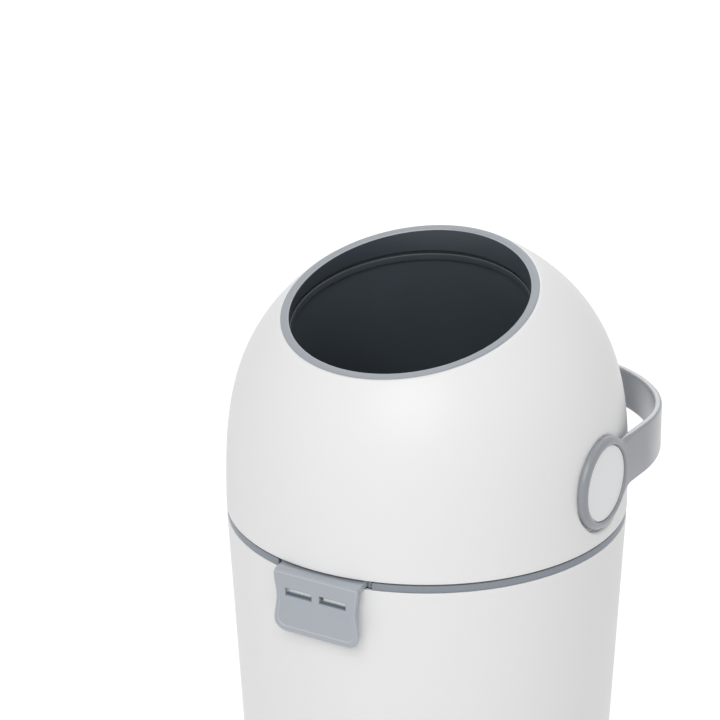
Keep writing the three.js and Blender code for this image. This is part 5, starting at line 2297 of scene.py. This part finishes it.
@dataclass(frozen=True)
class PhotoCamera:
    """The camera of the photograph.

    Args:
        azimuth: Degrees to the right of the front.
        elevation: Degrees above level.
        focal: Focal length in pixels of the picture.
        picture: Width of the picture in pixels.
        centre_x: Where the camera's axis meets the picture, in pixels from the left.
        seam_right: How far to the right of the axis the middle of the seam lies, in millimetres.
        seam_up: How far above the axis it lies.
        seam_deep: How far in front of the camera it lies.
        sensor: Width of the sensor in millimetres.
        reach: Nearest and farthest distance that it shows, in metres.
    """

    azimuth: float = 30.8
    elevation: float = 21.94
    focal: float = 3166.4
    picture: float = 720.0
    centre_x: float = 421.6
    seam_right: float = 3.64
    seam_up: float = -96.26
    seam_deep: float = 2218.4
    sensor: float = 36.0
    reach: Pair = (0.05, 50.0)

    def build(self, places: Places) -> None:
        """Sets up the camera.

        Args:
            places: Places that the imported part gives.
        """
        turn = math.radians(self.azimuth)
        right = Vector((math.cos(turn), math.sin(turn), 0))
        ahead = -way_out(self.azimuth, self.elevation)
        up = right.cross(ahead)
        eye = places.seam - right * self.seam_right - up * self.seam_up - ahead * self.seam_deep
        data = bpy.data.cameras.new("photo_camera")
        data.sensor_width = self.sensor
        data.lens = self.focal / self.picture * self.sensor
        data.shift_x = (self.picture / 2 - self.centre_x) / self.picture
        data.clip_start, data.clip_end = self.reach
        camera = new_object("photo_camera", data)
        looking = Matrix((right, up, -ahead)).transposed().to_4x4()
        camera.matrix_world = Matrix.Translation(eye * MM) @ looking
        bpy.context.scene.camera = camera
        LOG.info("camera at %s millimetres, lens %.1f mm", [round(value) for value in eye], data.lens)


@dataclass(frozen=True)
class SoftLamp:
    """A soft box that faces the bin.

    Args:
        name: The lamp's name.
        azimuth: Degrees to the right of the front.
        elevation: Degrees above level.
        distance: Metres from the bin's middle.
        size: Metres across.
        power: Watts.
    """

    name: str
    azimuth: float
    elevation: float
    distance: float
    size: float
    power: float

    def build(self, aim: Vector) -> None:
        """Hangs the lamp.

        Args:
            aim: The point that it faces, in metres.
        """
        way = way_out(self.azimuth, self.elevation)
        data = bpy.data.lights.new(self.name, "AREA")
        data.shape = "DISK"
        data.size = self.size
        data.energy = self.power
        lamp = new_object(self.name, data)
        looking = way.to_track_quat("Z", "Y").to_matrix().to_4x4()
        lamp.matrix_world = Matrix.Translation(aim + way * self.distance) @ looking


@dataclass(frozen=True)
class Studio:
    """A pale floor, a white world and soft lamps, with lengths in metres."""

    aim_height: float = 0.3
    floor_half: float = 9.0
    floor_paint: float = 0.86
    floor_glow_share: float = 0.62
    floor_glow: float = 1.36
    world_light: float = 0.56
    lamps: tuple[SoftLamp, ...] = (
        SoftLamp("key_lamp", 17.0, 40.0, 2.4, 1.7, 20.0),
        SoftLamp("top_lamp", 160.0, 66.0, 2.6, 1.4, 4.0),
        SoftLamp("back_lamp", 205.0, 30.0, 2.6, 1.6, 10.0),
    )

    def seen_directly(self, board: NodeBoard) -> Socket:
        """One where a ray comes from the camera, a gloss or a clear body, and zero elsewhere."""
        path = board.add("ShaderNodeLightPath").outputs
        gloss = board.sum(path["Is Camera Ray"], path["Is Glossy Ray"])
        return board.sum(gloss, path["Is Transmission Ray"], clamped=True)

    def floor(self) -> None:
        """Lays the floor, which is nearly white and keeps the bin's shadow."""
        half = self.floor_half / MM
        ring = [Vector((x * half, y * half, 0)) for x, y in ((-1, -1), (1, -1), (1, 1), (-1, 1))]
        mesh = bpy.data.meshes.new("studio_floor")
        mesh.from_pydata([tuple(point * MM) for point in ring], [], [(0, 1, 2, 3)])
        obj = new_object("studio_floor", mesh)
        sheet = NodeSheet("floor_white")
        paint = sheet.add("ShaderNodeBsdfDiffuse", {"Color": (*[self.floor_paint] * 3, 1)})
        glow = sheet.add("ShaderNodeEmission", {"Color": (1, 1, 1, 1), "Strength": self.floor_glow})
        share = sheet.spread(self.seen_directly(sheet), 0.0, 1.0, (0.0, self.floor_glow_share))
        obj.data.materials.append(sheet.finish(sheet.add("ShaderNodeMixShader", {
            0: share,
            1: paint.outputs["BSDF"],
            2: glow.outputs["Emission"],
        })))

    def world(self) -> None:
        """Fills the room with even light, and shows white behind the floor."""
        world = bpy.data.worlds.new("white_room")
        world.use_nodes = True
        board = NodeBoard(world.node_tree)
        strength = board.spread(self.seen_directly(board), 0.0, 1.0, (self.world_light, 1.0))
        light = board.add("ShaderNodeBackground", {"Color": (1, 1, 1, 1), "Strength": strength})
        board.add("ShaderNodeOutputWorld", {"Surface": light.outputs["Background"]})
        bpy.context.scene.world = world

    def build(self) -> None:
        """Builds the studio round the bin."""
        self.floor()
        self.world()
        for lamp in self.lamps:
            lamp.build(Vector((0, 0, self.aim_height)))


def main() -> None:
    """Builds the bin's sub-assemblies in order, then the camera and the studio."""
    logging.basicConfig(level=logging.INFO, format="%(name)s: %(message)s")
    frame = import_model()
    places = Places.read(frame)
    bench = Bench(frame, places, FinishRack())
    rule = DomeRule()
    drum = Drum(bench)
    sub_assemblies = (
        BinBody(bench),
        BagBand(bench),
        Dome(bench, rule),
        Mouth(bench, rule, drum),
        LidRing(bench),
        Latch(bench, rule),
        Hinge(bench),
        Handle(bench, rule),
        drum,
        Piston(bench),
    )
    for sub_assembly in sub_assemblies:
        sub_assembly.build()
    PhotoCamera().build(places)
    Studio().build()
    bpy.context.scene.view_settings.view_transform = "Standard"


if __name__ == "__main__":
    main()
